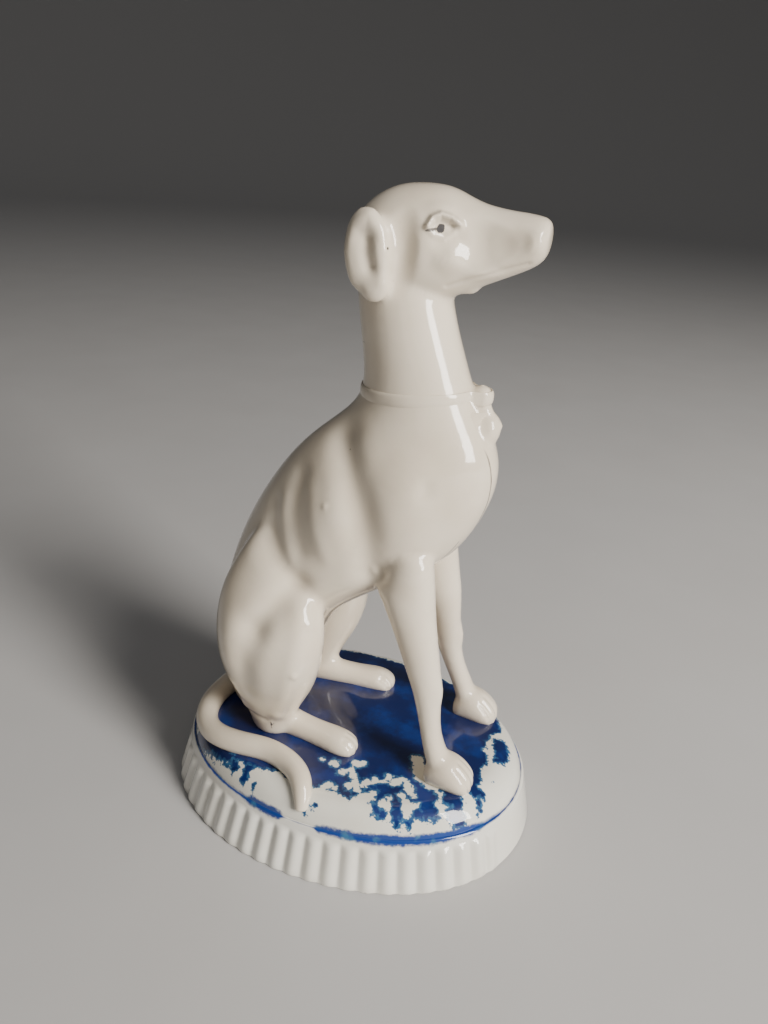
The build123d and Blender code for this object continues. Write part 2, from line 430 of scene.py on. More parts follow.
class Sheet:
    """A material's node tree, with short ways to write sums on it."""

    def __init__(self, name: str) -> None:
        """Start a material with a shader and object coordinates in millimetres.

        Args:
            name: The material's name.
        """
        self.material = bpy.data.materials.new(name)
        self.material.use_nodes = True
        self.tree = self.material.node_tree
        self.shader = self.tree.nodes["Principled BSDF"]
        place = self.tree.nodes.new("ShaderNodeTexCoord")
        self.place = self.vector("SCALE", place.outputs["Object"], scale=1 / MM)

    def link(self, source: object, socket: object) -> None:
        """Connect a socket, or set it to a plain value.

        Args:
            source: An output socket, or a plain value.
            socket: The input socket.
        """
        if isinstance(source, bpy.types.NodeSocket):
            self.tree.links.new(source, socket)
        else:
            socket.default_value = source

    def sum(self, operation: str, one: object, two: object = 0.0, three: object = 0.0,
            clamp: bool = False) -> object:
        """One maths node. Returns its output.

        Args:
            operation: Blender's name for the sum.
            one: The first value or socket.
            two: The second.
            three: The third, where the sum has one.
            clamp: True to keep the answer between 0 and 1.

        Returns:
            The sum's output socket.
        """
        node = self.tree.nodes.new("ShaderNodeMath")
        node.operation = operation
        node.use_clamp = clamp
        for value, socket in zip((one, two, three), node.inputs):
            self.link(value, socket)
        return node.outputs[0]

    def vector(self, operation: str, one: object, two: object = (0, 0, 0),
               scale: float = 1.0, value: str = "Vector") -> object:
        """One vector maths node. Returns its output of the given name.

        Args:
            operation: Blender's name for the sum.
            one: The first vector or socket.
            two: The second.
            scale: The factor, where the sum is a scaling.
            value: Which output is wanted.

        Returns:
            The output socket.
        """
        node = self.tree.nodes.new("ShaderNodeVectorMath")
        node.operation = operation
        self.link(one, node.inputs[0])
        if operation == "SCALE":
            node.inputs["Scale"].default_value = scale
        else:
            self.link(two, node.inputs[1])
        return node.outputs[value]

    def parts(self, vector: object) -> tuple[object, object, object]:
        """A vector's X, Y and Z.

        Args:
            vector: The vector's socket.

        Returns:
            The three output sockets.
        """
        node = self.tree.nodes.new("ShaderNodeSeparateXYZ")
        self.link(vector, node.inputs[0])
        return tuple(node.outputs)

    def noise(self, size: float, detail: float = 2.0, rough: float = 0.5, shift: Point = (0, 0, 0),
              place: object = None) -> object:
        """Noise of about 0 to 1 with features of a size in millimetres.

        Args:
            size: The size of its features, in millimetres.
            detail: How many finer layers it has.
            rough: How strong the finer layers are.
            shift: How far the pattern is moved.
            place: The coordinates, or None for the object's own.

        Returns:
            The output socket.
        """
        node = self.tree.nodes.new("ShaderNodeTexNoise")
        self.link(self.vector("ADD", place or self.place, shift), node.inputs["Vector"])
        node.inputs["Scale"].default_value = 1 / size
        node.inputs["Detail"].default_value = detail
        node.inputs["Roughness"].default_value = rough
        return node.outputs[0]

    def ramp(self, value: object, low: float, high: float, start: float = 0.0, end: float = 1.0) -> object:
        """A value that goes smoothly from start to end as another goes from low to high.

        Args:
            value: The value that is read.
            low: Where the change begins.
            high: Where it ends.
            start: The answer at low.
            end: The answer at high.

        Returns:
            The output socket.
        """
        node = self.tree.nodes.new("ShaderNodeMapRange")
        node.interpolation_type = "SMOOTHSTEP"
        for number, socket in zip((value, low, high, start, end), node.inputs):
            self.link(number, socket)
        return node.outputs[0]

    def mix(self, share: object, one: object, two: object) -> object:
        """Two colours mixed by a share.

        Args:
            share: The second colour's share.
            one: The first colour.
            two: The second colour.

        Returns:
            The mixed colour's socket.
        """
        node = self.tree.nodes.new("ShaderNodeMix")
        node.data_type = "RGBA"
        for value, name in ((share, 0), (one, 6), (two, 7)):
            if isinstance(value, tuple) and len(value) == 3:
                value = (*value, 1.0)
            self.link(value, node.inputs[name])
        return node.outputs[2]

    def curve(self, value: object, knots: Sequence[tuple[float, float]]) -> object:
        """A value read off a curve through knots, from 0 to 1 both ways.

        Args:
            value: The value that is read.
            knots: The curve's points, in order.

        Returns:
            The output socket.
        """
        node = self.tree.nodes.new("ShaderNodeFloatCurve")
        line = node.mapping.curves[0]
        for position, (across, up) in enumerate(knots):
            if position < len(line.points):
                line.points[position].location = (across, up)
            else:
                line.points.new(across, up)
        node.mapping.update()
        self.link(value, node.inputs["Value"])
        return node.outputs[0]

    def attribute(self, name: str) -> object:
        """A number that the mesh carries.

        Args:
            name: The number's name on the mesh.

        Returns:
            The output socket.
        """
        node = self.tree.nodes.new("ShaderNodeAttribute")
        node.attribute_name = name
        return node.outputs["Fac"]

    def bump(self, height: object, depth: float) -> None:
        """Ripple the glaze by a height of 0 to 1, depth millimetres deep.

        Args:
            height: The height's socket.
            depth: Its depth, in millimetres.
        """
        node = self.tree.nodes.new("ShaderNodeBump")
        node.inputs["Distance"].default_value = depth * MM
        self.link(height, node.inputs["Height"])
        self.tree.links.new(node.outputs[0], self.shader.inputs["Normal"])
        self.tree.links.new(node.outputs[0], self.shader.inputs["Coat Normal"])

    def gloss(self, body_roughness: float, glaze_roughness: float, glaze: float) -> None:
        """Set the clay's own roughness, and the clear glaze over it.

        Args:
            body_roughness: The clay's roughness.
            glaze_roughness: The glaze's roughness.
            glaze: How much glaze there is, from 0 to 1.
        """
        self.shader.inputs["Roughness"].default_value = body_roughness
        self.shader.inputs["IOR"].default_value = 1.5
        self.shader.inputs["Specular IOR Level"].default_value = 0.15
        self.shader.inputs["Coat Weight"].default_value = glaze
        self.shader.inputs["Coat Roughness"].default_value = glaze_roughness
        self.shader.inputs["Coat IOR"].default_value = 1.52


# ---- Finishes -------------------------------------------------------------------------------------


@dataclass(frozen=True)
class Glaze:
    """A clear glossy glaze over pale clay, with the faint unevenness of hand work."""

    name: str
    clay: Colour
    warm: Colour
    # Tint of the hollows: partly pooled glaze, partly painted shade.
    pooled_glaze_and_shade: Colour
    speck: Colour = (0.06, 0.05, 0.04)
    speck_spacing: float = 5.5
    speck_rarity: float = 0.86
    body_roughness: float = 0.3
    glaze_roughness: float = 0.06
    ripple: float = 0.05

    def ground_colour(self, sheet: Sheet) -> object:
        """The clay's colour under the glaze: blotches, a darker tint in the hollows that is partly pooled
        glaze and partly painted shade, and a few specks.

        Args:
            sheet: The material's node sheet.

        Returns:
            The colour socket.
        """
        blotch = sheet.ramp(sheet.noise(14.0, 3.0, 0.55), 0.35, 0.65)
        colour = sheet.mix(blotch, self.clay, self.warm)
        # Darker in the creases: partly pooled glaze, partly painted shade.
        colour = sheet.mix(sheet.attribute("glaze_pool_and_shade"), colour, self.pooled_glaze_and_shade)
        return self.with_specks(sheet, colour)

    def with_specks(self, sheet: Sheet, colour: object) -> object:
        """A few tiny iron specks, far apart.

        Args:
            sheet: The material's node sheet.
            colour: The colour underneath.

        Returns:
            The colour socket.
        """
        cells = sheet.tree.nodes.new("ShaderNodeTexVoronoi")
        sheet.link(sheet.place, cells.inputs["Vector"])
        cells.inputs["Scale"].default_value = 1 / self.speck_spacing
        lucky = sheet.sum("GREATER_THAN", sheet.parts(cells.outputs["Color"])[0], self.speck_rarity)
        close = sheet.ramp(cells.outputs["Distance"], 0.03, 0.05, 1.0, 0.0)
        return sheet.mix(sheet.sum("MULTIPLY", lucky, close), colour, self.speck)

    def surface(self, sheet: Sheet) -> None:
        """Set the gloss and the ripple of the glaze.

        Args:
            sheet: The material's node sheet.
        """
        sheet.gloss(self.body_roughness, self.glaze_roughness, 1.0)
        broad = sheet.noise(5.0, 2.0, 0.5)
        fine = sheet.noise(1.1, 2.0, 0.5)
        sheet.bump(sheet.sum("MULTIPLY_ADD", fine, 0.16, broad), self.ripple)

    def material(self) -> bpy.types.Material:
        """Build the material.

        Returns:
            The material.
        """
        sheet = Sheet(self.name)
        sheet.link(self.ground_colour(sheet), sheet.shader.inputs["Base Color"])
        self.surface(sheet)
        return sheet.material


@dataclass(frozen=True)
class DogGlaze(Glaze):
    """The dog's glaze, with its painted eyes and the fine dark seam down its chest."""

    eye: Point = (12.3, 7.4, 121.0)
    paint: Colour = (0.07, 0.066, 0.066)
    seam_half_width: float = 0.16
    seam_side: float = 1.1
    seam_low: float = 56.0
    seam_high: float = 86.0
    chest_x: float = 9.0
    stain: Colour = (0.09, 0.07, 0.055)

    def eye_mark(self, sheet: Sheet) -> object:
        """Each eye's dab of grey-black, with a short streak behind it.

        Args:
            sheet: The material's node sheet.

        Returns:
            The mark's strength, from 0 to 1.
        """
        x, y, z = sheet.parts(sheet.place)
        side = sheet.sum("ABSOLUTE", y)
        wobble = sheet.sum("MULTIPLY", sheet.sum("SUBTRACT", sheet.noise(0.5, 2.0), 0.5), 0.9)
        near = sheet.sum("GREATER_THAN", side, self.eye[1] - 3.0)

        def dab(ahead: float, above: float, long: float, tall: float, slope: float) -> object:
            """Paint one ragged oval.

            Args:
                ahead: How far its middle is in front of the eye's, in millimetres.
                above: How far its middle is above the eye's.
                long: Its half length.
                tall: Its half height.
                slope: How much it climbs forwards.

            Returns:
                The socket, 1 inside the oval and 0 outside.
            """
            across = sheet.sum("SUBTRACT", x, self.eye[0] + ahead)
            up = sheet.sum("SUBTRACT", z, self.eye[2] + above)
            up = sheet.sum("MULTIPLY_ADD", across, -slope, up)
            one = sheet.sum("POWER", sheet.sum("DIVIDE", sheet.sum("ABSOLUTE", across), long), 2.0)
            two = sheet.sum("POWER", sheet.sum("DIVIDE", sheet.sum("ABSOLUTE", up), tall), 2.0)
            field_value = sheet.sum("ADD", sheet.sum("ADD", one, two), wobble)
            return sheet.ramp(field_value, 0.75, 1.05, 1.0, 0.0)

        pupil = dab(0.0, 0.0, 0.6, 0.7, 0.0)
        streak = dab(-1.15, -0.25, 0.95, 0.26, 0.2)
        mark = sheet.sum("MAXIMUM", pupil, sheet.sum("MULTIPLY", streak, 0.85))
        return sheet.sum("MULTIPLY", mark, near)

    def chest_seam(self, sheet: Sheet) -> object:
        """The craze that follows the mould seam down the chest, and its branch near the bottom.

        Args:
            sheet: The material's node sheet.

        Returns:
            The seam's strength, from 0 to 1.
        """
        x, y, z = sheet.parts(sheet.place)
        drift = sheet.sum("MULTIPLY", sheet.sum("SUBTRACT", sheet.noise(7.0, 3.0), 0.5), 0.9)
        climb = sheet.sum("MAXIMUM", sheet.sum("SUBTRACT", z, 68.0), 0.0)
        aside = sheet.sum("ADD", y, drift)
        dip = sheet.sum("MAXIMUM", sheet.sum("SUBTRACT", 66.0, z), 0.0)
        off = sheet.sum("ADD", sheet.sum("MULTIPLY_ADD", climb, 0.14, aside), self.seam_side)
        off = sheet.sum("MULTIPLY_ADD", dip, 0.3, off)
        line = sheet.ramp(sheet.sum("ABSOLUTE", off), 0.4 * self.seam_half_width,
                          1.5 * self.seam_half_width, 1.0, 0.0)
        high = sheet.ramp(z, self.seam_high - 3.0, self.seam_high, 1.0, 0.0)
        low = sheet.sum("GREATER_THAN", z, self.seam_low)
        front = sheet.sum("GREATER_THAN", x, self.chest_x)
        faint = sheet.ramp(sheet.noise(2.5, 2.0), 0.3, 0.6, 0.75, 1.0)
        branch_off = sheet.sum("ADD", aside, 4.0)
        branch = sheet.ramp(sheet.sum("ABSOLUTE", branch_off), 0.05, 0.16, 0.9, 0.0)
        below = sheet.sum("LESS_THAN", z, 67.0)
        line = sheet.sum("MAXIMUM", line, sheet.sum("MULTIPLY", branch, below))
        for mask in (high, low, front, faint):
            line = sheet.sum("MULTIPLY", line, mask)
        return sheet.sum("MULTIPLY", line, 0.9)

    def material(self) -> bpy.types.Material:
        """Build the material.

        Returns:
            The material.
        """
        sheet = Sheet(self.name)
        colour = self.ground_colour(sheet)
        colour = sheet.mix(self.chest_seam(sheet), colour, self.stain)
        colour = sheet.mix(self.eye_mark(sheet), colour, self.paint)
        sheet.link(colour, sheet.shader.inputs["Base Color"])
        self.surface(sheet)
        return sheet.material


@dataclass(frozen=True)
class GroundGlaze(Glaze):
    """Cobalt blue brushed and sponged over the white ground, thin and teal at its ragged edges."""

    navy: Colour = (0.005, 0.013, 0.075)
    cobalt: Colour = (0.007, 0.026, 0.15)
    teal: Colour = (0.04, 0.14, 0.27)
    line: Colour = (0.010, 0.045, 0.23)
    # How strong the line in the groove is, by the turn round it in degrees.
    line_strength: tuple[tuple[float, float], ...] = (
        (-180, 0.4), (-150, 0.42), (-111, 0.42), (-106, 0.75), (-97, 0.7), (-93, 0.05), (-88, 0.05),
        (-84, 0.6), (-60, 0.8), (-36, 0.8), (-28, 0.45), (-6, 0.3), (2, 0.15), (20, 0.3),
        (45, 0.5), (180, 0.4))

    def turn_and_reach(self, sheet: Sheet) -> tuple[object, object]:
        """Each point's turn round the oval, from 0 to 1, and its share of the way out.

        Args:
            sheet: The material's node sheet.

        Returns:
            The two sockets.
        """
        along, across = sheet.attribute("along"), sheet.attribute("across")
        angle = sheet.sum("ARCTAN2", across, along)
        turn = sheet.sum("MULTIPLY_ADD", angle, 0.5 / math.pi, 0.5)
        squares = sheet.sum("ADD", sheet.sum("MULTIPLY", along, along),
                            sheet.sum("MULTIPLY", across, across))
        return turn, sheet.sum("SQRT", squares)

    def groove_line(self, sheet: Sheet) -> object:
        """The brushed line in the groove round the ground, with its gaps.

        Args:
            sheet: The material's node sheet.

        Returns:
            The line's strength, from 0 to 1.
        """
        turn, reach = self.turn_and_reach(sheet)
        wander = sheet.sum("SUBTRACT", sheet.noise(4.0, 3.0), 0.5)
        off = sheet.sum("ABSOLUTE", sheet.sum("SUBTRACT", reach, 1.006))
        off = sheet.sum("MULTIPLY_ADD", wander, 0.012, off)
        strength = sheet.curve(turn, [((angle + 180) / 360, value) for angle, value in self.line_strength])
        rough = sheet.noise(1.0, 3.0, 0.6, shift=(7, 3, 1))
        width = sheet.sum("MULTIPLY", sheet.sum("MULTIPLY_ADD", rough, 0.016, 0.012), strength)
        return sheet.ramp(sheet.sum("SUBTRACT", off, width), -0.006, 0.003, 1.0, 0.0)

    def blue_depth(self, sheet: Sheet) -> object:
        """How far inside the blue each point is, in millimetres, with the brush's ragged edges.

        Args:
            sheet: The material's node sheet.

        Returns:
            The depth's socket, above 0 in the blue.
        """
        ragged = sheet.sum("SUBTRACT", sheet.noise(1.6, 3.0, 0.65), 0.47)
        crumbs = sheet.sum("SUBTRACT", sheet.noise(0.8, 2.0, 0.6, shift=(3, 8, 2)), 0.47)
        depth = sheet.sum("MULTIPLY_ADD", ragged, 2.4, sheet.attribute("blue"))
        return sheet.sum("MULTIPLY_ADD", crumbs, 1.5, depth)

    def painted(self, sheet: Sheet, colour: object, whole_ground: bool) -> object:
        """Lay the blue over a colour.

        Args:
            sheet: The material's node sheet.
            colour: The colour underneath.
            whole_ground: False for the wall, which has only the groove's line.

        Returns:
            The colour socket.
        """
        washed = sheet.mix(sheet.ramp(sheet.noise(6.0, 4.0, 0.6), 0.42, 0.68), self.navy, self.cobalt)
        if whole_ground:
            depth = self.blue_depth(sheet)
            blot = sheet.mix(sheet.ramp(depth, 0.0, 0.8), self.teal, washed)
            colour = sheet.mix(sheet.ramp(depth, -0.10, 0.14), colour, blot)
        line = self.groove_line(sheet)
        thinning = sheet.ramp(sheet.noise(3.0, 2.0, 0.5, shift=(2, 2, 9)), 0.3, 0.45)
        return sheet.mix(line, colour, sheet.mix(thinning, self.teal, self.line))

    def material(self) -> bpy.types.Material:
        """Build the ground's material.

        Returns:
            The material.
        """
        sheet = Sheet(self.name)
        colour = self.painted(sheet, self.ground_colour(sheet), whole_ground=True)
        sheet.link(colour, sheet.shader.inputs["Base Color"])
        self.surface(sheet)
        return sheet.material

    def wall_material(self, wall: Glaze) -> bpy.types.Material:
        """Build the wall's material, which shares the line in the groove.

        Args:
            wall: The wall's own glaze.

        Returns:
            The material.
        """
        sheet = Sheet(wall.name)
        colour = self.painted(sheet, wall.ground_colour(sheet), whole_ground=False)
        sheet.link(colour, sheet.shader.inputs["Base Color"])
        wall.surface(sheet)
        return sheet.material


@dataclass(frozen=True)
class Biscuit:
    """Fired clay with hardly any glaze, as inside the foot."""

    name: str = "biscuit_clay"
    light: Colour = (0.66, 0.60, 0.50)
    dark: Colour = (0.52, 0.45, 0.36)

    def material(self) -> bpy.types.Material:
        """Build the material.

        Returns:
            The material.
        """
        sheet = Sheet(self.name)
        grain = sheet.noise(0.8, 5.0, 0.65)
        stain = sheet.ramp(sheet.noise(9.0, 3.0), 0.35, 0.7)
        colour = sheet.mix(sheet.sum("MULTIPLY", stain, grain), self.light, self.dark)
        sheet.link(colour, sheet.shader.inputs["Base Color"])
        sheet.shader.inputs["Roughness"].default_value = 0.7
        sheet.bump(grain, 0.12)
        return sheet.material


# ---- The dog --------------------------------------------------------------------------------------


@dataclass
class Dog:
    """The dog is modelled whole, as its moulds' master was, and then cut into the potter's pieces."""

    voxel: float = 0.42
    ear_cut: float = 8.7
    leg_cut: Point = (12.0, 0.0, 54.0)
    leg_axis: Point = (-0.236, 0.0, 0.972)
    foot_cut: Point = (-16.0, 0.0, 21.6)
    foot_axis: Point = (0.3, 0.0, 1.0)
    # The dog sits a little to its left of the plinth's middle, which leaves room for the tail.
    ground_shift: float = 1.3
    shift_from: float = 46.0
    shift_run: float = 28.0
    trunk: tuple[Ring, ...] = (
        Ring(14.5, -28.0, -13.0, 8.4), Ring(18, -29.8, -12.0, 9.4), Ring(24, -30.8, -11.5, 10.6),
        Ring(30, -31.2, -10.2, 11.4), Ring(35, -31.2, -8.6, 11.9), Ring(40, -30.8, -6.4, 12.2),
        Ring(45.5, -29.9, -3.2, 12.4), Ring(51, -28.5, 3.6, 12.5), Ring(56, -27.0, 11.5, 12.6),
        Ring(61, -25.0, 17.8, 12.7), Ring(66, -22.6, 21.3, 12.8), Ring(71, -19.7, 23.6, 12.7),
        Ring(76, -16.4, 25.2, 12.2), Ring(81, -12.2, 25.4, 11.3), Ring(85, -7.6, 24.2, 10.1),
        Ring(88.5, -3.6, 22.3, 9.1), Ring(92, -1.3, 20.2, 8.3), Ring(96, -1.2, 18.2, 7.9),
        Ring(101, -1.9, 16.3, 7.7), Ring(106, -2.7, 14.4, 7.7), Ring(111, -3.3, 13.2, 7.8),
        Ring(115, -3.0, 12.0, 7.2))
    head: tuple[Ring, ...] = (
        Ring(-4.9, 113.5, 118.2, 3.0), Ring(-3.8, 110.6, 121.4, 6.0), Ring(-1.4, 109.0, 124.4, 8.0),
        Ring(2.0, 108.2, 126.4, 8.9), Ring(5.0, 108.0, 127.1, 9.1), Ring(9.0, 108.4, 127.3, 8.8),
        Ring(12.2, 109.2, 126.9, 7.8), Ring(14.6, 110.2, 125.8, 6.8), Ring(17.5, 111.6, 124.7, 5.6),
        Ring(21.0, 113.2, 124.2, 4.7), Ring(24.0, 114.6, 124.0, 4.3), Ring(26.6, 115.9, 123.8, 3.9),
        Ring(28.0, 117.2, 123.3, 3.3), Ring(28.5, 118.9, 122.4, 2.2))
    haunch: tuple[Ring, ...] = (
        Ring(15.0, -19.0, -10.5, 3.2, 11.2), Ring(19, -19.6, -9.8, 3.8, 11.4),
        Ring(22, -20.6, -8.9, 4.4, 11.7), Ring(25, -22.0, -7.6, 5.0, 12.1),
        Ring(28, -23.4, -6.0, 5.6, 12.4), Ring(31, -24.6, -4.6, 6.2, 12.7), Ring(36, -25.5, -3.1, 6.8, 13.0),
        Ring(41, -25.8, -2.4, 7.0, 12.9), Ring(46, -25.8, -2.6, 6.7, 12.2),
        Ring(51, -25.2, -3.8, 6.0, 11.0), Ring(56, -23.3, -6.6, 5.0, 9.2), Ring(61, -20.6, -9.4, 3.6, 7.8),
        Ring(66, -16.8, -11.4, 2.2, 7.2))
    foreleg: tuple[Ring, ...] = (
        Ring(66, 8.5, 16.5, 3.2, 7.4), Ring(61, 7.0, 17.4, 3.9, 8.0), Ring(56, 6.9, 18.2, 4.2, 8.6),
        Ring(51, 9.6, 18.9, 3.9, 9.0), Ring(46, 11.9, 20.0, 3.5, 9.5), Ring(41, 14.0, 21.1, 3.1, 9.9),
        Ring(36, 16.0, 21.7, 2.75, 10.4), Ring(31, 17.4, 22.0, 2.5, 10.8), Ring(27, 18.3, 22.5, 2.45, 11.1),
        Ring(24, 19.0, 23.6, 2.6, 11.3), Ring(21, 19.9, 25.0, 2.8, 11.4), Ring(18, 21.0, 26.0, 2.9, 11.5),
        Ring(15.0, 21.5, 26.0, 2.9, 11.5))
    forepaw: tuple[Ring, ...] = (
        Ring(20.0, 14.6, 19.4, 2.8, 11.4), Ring(21.6, 14.4, 21.6, 3.5, 11.4),
        Ring(23.6, 14.4, 22.8, 3.9, 11.4), Ring(25.6, 14.3, 22.2, 4.1, 11.4),
        Ring(27.6, 14.3, 21.0, 4.0, 11.4), Ring(29.2, 14.4, 19.4, 3.4, 11.4),
        Ring(30.3, 14.9, 17.8, 2.3, 11.4))
    hind_foot: tuple[Ring, ...] = (
        Ring(-20.5, 15.4, 19.4, 2.0, 9.0), Ring(-19.0, 15.0, 21.0, 2.8, 9.2),
        Ring(-15.0, 15.0, 21.6, 3.2, 9.7), Ring(-11.0, 15.0, 21.0, 3.0, 10.2),
        Ring(-7.0, 15.0, 20.4, 2.8, 10.7), Ring(-3.0, 15.0, 20.2, 2.9, 11.2),
        Ring(0.5, 15.0, 20.4, 3.3, 11.7), Ring(3.2, 15.1, 19.9, 3.2, 11.9), Ring(5.4, 15.6, 18.4, 2.1, 11.9))
    # The collar's knot and the pendant: middle, half sizes and turn of each lump.
    beads: tuple[tuple[Point, Point, Point], ...] = (
        ((20.4, 0.0, 93.7), (2.0, 2.3, 2.1), (0, 0, 0)), ((22.1, 0.0, 87.8), (2.5, 2.9, 3.4), (0, 8, 0)),
        ((23.9, 0.0, 89.0), (1.0, 1.0, 0.8), (0, 0, 0)), ((21.4, 0.0, 91.2), (1.4, 1.6, 1.6), (0, 0, 0)))
    # Their pieces' half width, back, and lower, middle and upper levels.
    bead_cuts: tuple[float, float, float, float, float] = (3.6, 19.0, 84.6, 91.3, 96.0)
    broad_strokes: tuple[Stroke, ...] = (
        # temple, eye socket, brow, cheek, side of the muzzle, nose and lips
        Stroke((6.8, -9.3, 117.6), (3.4, 4.0, 9.5), (0.0, 1.15, 0.0)),
        Stroke((14.9, -7.0, 118.2), (1.9, 2.2, 1.7), (0.0, -0.22, 0.0)),
        Stroke((13.6, -7.0, 119.6), (3.6, 3.4, 3.0), (0.0, 0.6, 0.0)),
        Stroke((13.0, -7.2, 124.2), (4.6, 3.2, 2.2), (0.0, -0.5, 0.25)),
        Stroke((14.4, -7.2, 116.6), (3.6, 3.2, 3.2), (0.0, -0.5, 0.0)),
        Stroke((18.8, -5.7, 119.2), (6.0, 3.8, 5.0), (0.0, 1.3, 0.0)),
        Stroke((23.2, -4.9, 119.6), (3.6, 3.0, 4.0), (0.0, 0.5, 0.0)),
        Stroke((27.0, -3.9, 120.2), (2.2, 2.4, 3.6), (0.0, -0.3, 0.0)),
        Stroke((20.0, -3.8, 114.2), (6.0, 2.6, 1.6), (0.0, -0.5, 0.0)),
        # valley behind the shoulder, the shoulder blade and the point of the shoulder
        Stroke((12.0, -11.6, 76.0), (8.0, 5.0, 12.0), (0.0, -0.8, 0.0)),
        Stroke((15.0, -10.5, 64.0), (6.0, 5.0, 9.0), (0.0, -0.5, 0.0)),
        Stroke((-2.5, -12.4, 70.0), (6.0, 5.0, 10.0), (0.0, -0.7, 0.0)),
        Stroke((-15.0, -12.0, 63.0), (6.5, 5.0, 7.0), (0.0, 0.7, 0.0)),
        # haunch: knobs at the thigh and the knee, the calf and the hock
        Stroke((-4.6, -15.2, 53.6), (2.6, 3.4, 2.4), (0.8, -1.0, 0.2)),
        Stroke((-3.4, -16.4, 48.4), (2.4, 3.4, 2.4), (1.0, -0.8, 0.0)),
        Stroke((-20.5, -17.0, 40.0), (5.0, 5.0, 11.0), (0.0, -0.7, 0.0)),
        Stroke((-18.8, -13.5, 24.0), (2.6, 3.6, 2.6), (-0.4, -0.6, 0.0)),
        Stroke((-11.4, -15.0, 23.6), (2.8, 3.0, 2.6), (0.2, -0.6, 0.0)),
        # wrist and elbow
        Stroke((22.2, -10.6, 37.5), (2.6, 3.4, 5.0), (0.5, 0.0, 0.0)),
        Stroke((7.6, -9.5, 57.0), (2.6, 4.0, 3.4), (-0.4, -0.4, -0.2)))
    single_strokes: tuple[Stroke, ...] = (
        # the left foreleg stands a little further back
        Stroke((18.0, 11.5, 36.0), (9.0, 8.0, 15.0), (-2.0, 0.0, 0.0)),)
    broad_lines: tuple[Line, ...] = (
        # behind the shoulder, behind the ribs, and the hollow between thigh and shin
        Line(((-3.0, -10.5, 86.0), (1.2, -12.6, 78.2), (3.6, -13.2, 72.8), (5.2, -13.0, 66.0),
              (6.0, -12.0, 60.5)), 3.1, -1.35),
        Line(((-11.0, -11.0, 77.0), (-10.8, -12.8, 69.0), (-8.4, -13.0, 62.4)), 2.2, -0.55),
        Line(((-17.0, -11.0, 70.0), (-15.4, -12.8, 63.0), (-12.0, -13.0, 58.0)), 2.2, -0.35),
        Line(((-8.0, -14.0, 55.5), (-11.4, -16.5, 51.0), (-14.8, -19.0, 46.5)), 2.7, -1.2),
        Line(((-14.0, -19.2, 46.0), (-16.4, -19.6, 38.0), (-17.0, -18.0, 30.0)), 2.8, -0.75),
        Line(((-5.4, -16.6, 51.0), (-5.2, -18.0, 45.0), (-6.4, -18.6, 39.0), (-8.2, -17.5, 32.0),
              (-10.4, -15.6, 26.0)), 2.2, 0.6))
    fine_lines: tuple[Line, ...] = (
        # eyelids, with the sunk white between them
        Line(((10.6, -8.2, 121.4), (11.2, -7.9, 122.7), (12.5, -7.6, 123.3), (14.0, -6.9, 122.9),
              (15.3, -6.2, 121.8)), 0.52, 0.75),
        Line(((15.3, -6.2, 121.8), (14.5, -6.8, 120.4), (13.2, -7.3, 119.7), (11.6, -7.9, 120.0),
              (10.6, -8.2, 121.0)), 0.45, 0.2),
        Line(((11.5, -7.9, 121.5), (12.6, -7.5, 121.9), (14.0, -6.9, 121.6)), 0.5, -0.3),
        # crease under the jaw and the nostril
        Line(((26.0, -3.0, 116.2), (22.4, -3.9, 114.9), (18.4, -4.9, 113.2), (14.6, -6.4, 110.8)),
             0.5, -0.22),
        Line(((27.9, -2.3, 121.4), (27.4, -2.9, 120.6)), 0.34, -0.22),
        # ribs
        Line(((-7.6, -13.0, 75.0), (-5.6, -13.4, 69.0), (-2.6, -13.4, 62.0)), 1.7, 0.2),
        Line(((-14.0, -12.5, 72.0), (-13.0, -13.2, 65.0), (-9.6, -13.0, 58.5)), 1.5, 0.14),
        # a pimple on the ribs, one on the shank, a dimple on the shoulder and a knob at the elbow
        Line(((-3.4, -13.4, 72.8), (-3.3, -13.4, 72.7)), 0.42, 0.3),
        Line(((-6.2, -18.0, 37.4), (-6.1, -18.0, 37.3)), 0.7, 0.4),
        Line(((14.7, -10.0, 79.0), (14.8, -10.0, 78.0)), 1.7, -0.3),
        Line(((6.4, -12.0, 60.2), (6.6, -11.8, 59.6)), 0.7, 0.35),
        # crease above the heel
        Line(((-17.0, -13.0, 22.0), (-14.4, -14.6, 21.4)), 0.9, -0.3))

    def blank(self) -> bpy.types.Object:
        """Build the forms and merge them into one piece of clay.

        Returns:
            The whole dog, before it is worked.
        """
        forms = [grown("trunk", self.trunk, Growth.LEVEL), grown("head", self.head, Growth.UPRIGHT)]
        for flank in (-1, 1):
            for name, rings, growth in (
                    ("haunch", self.haunch, Growth.LEVEL), ("foreleg", self.foreleg, Growth.LEVEL),
                    ("forepaw", self.forepaw, Growth.UPRIGHT),
                    ("hind_foot", self.hind_foot, Growth.UPRIGHT)):
                turned = [Ring(r.at, r.low, r.high, r.half_width, flank * r.side) for r in rings]
                forms.append(grown(name, turned, growth))
            forms.append(pebble("ear", (1.2, flank * 8.9, 116.6), (4.1, 2.2, 6.9), (0, -5, flank * 8)))
            forms.append(pebble("ear_tip", (2.7, flank * 8.9, 112.0), (2.7, 1.8, 3.2), (0, 0, 0)))
        forms.append(pebble("chin", (16.6, 0.0, 111.7), (1.7, 1.6, 1.1), (0, -25, 0)))
        forms += [pebble("bead", *bead) for bead in self.beads]
        dog = joined(forms, "dog")
        apply(dog, "REMESH", mode="VOXEL", voxel_size=self.voxel * MM, use_smooth_shade=True)
        return dog

    def settle_on_ground(self, dog: bpy.types.Object) -> None:
        """Shift the legs and feet sideways over the plinth, more the lower they are.

        Args:
            dog: The whole dog.
        """
        points = points_of(dog)
        share = np.clip((self.shift_from - points[:, 2]) / self.shift_run, 0, 1)
        points[:, 1] += self.ground_shift * share * share * (3 - 2 * share)
        move_points(dog, points)

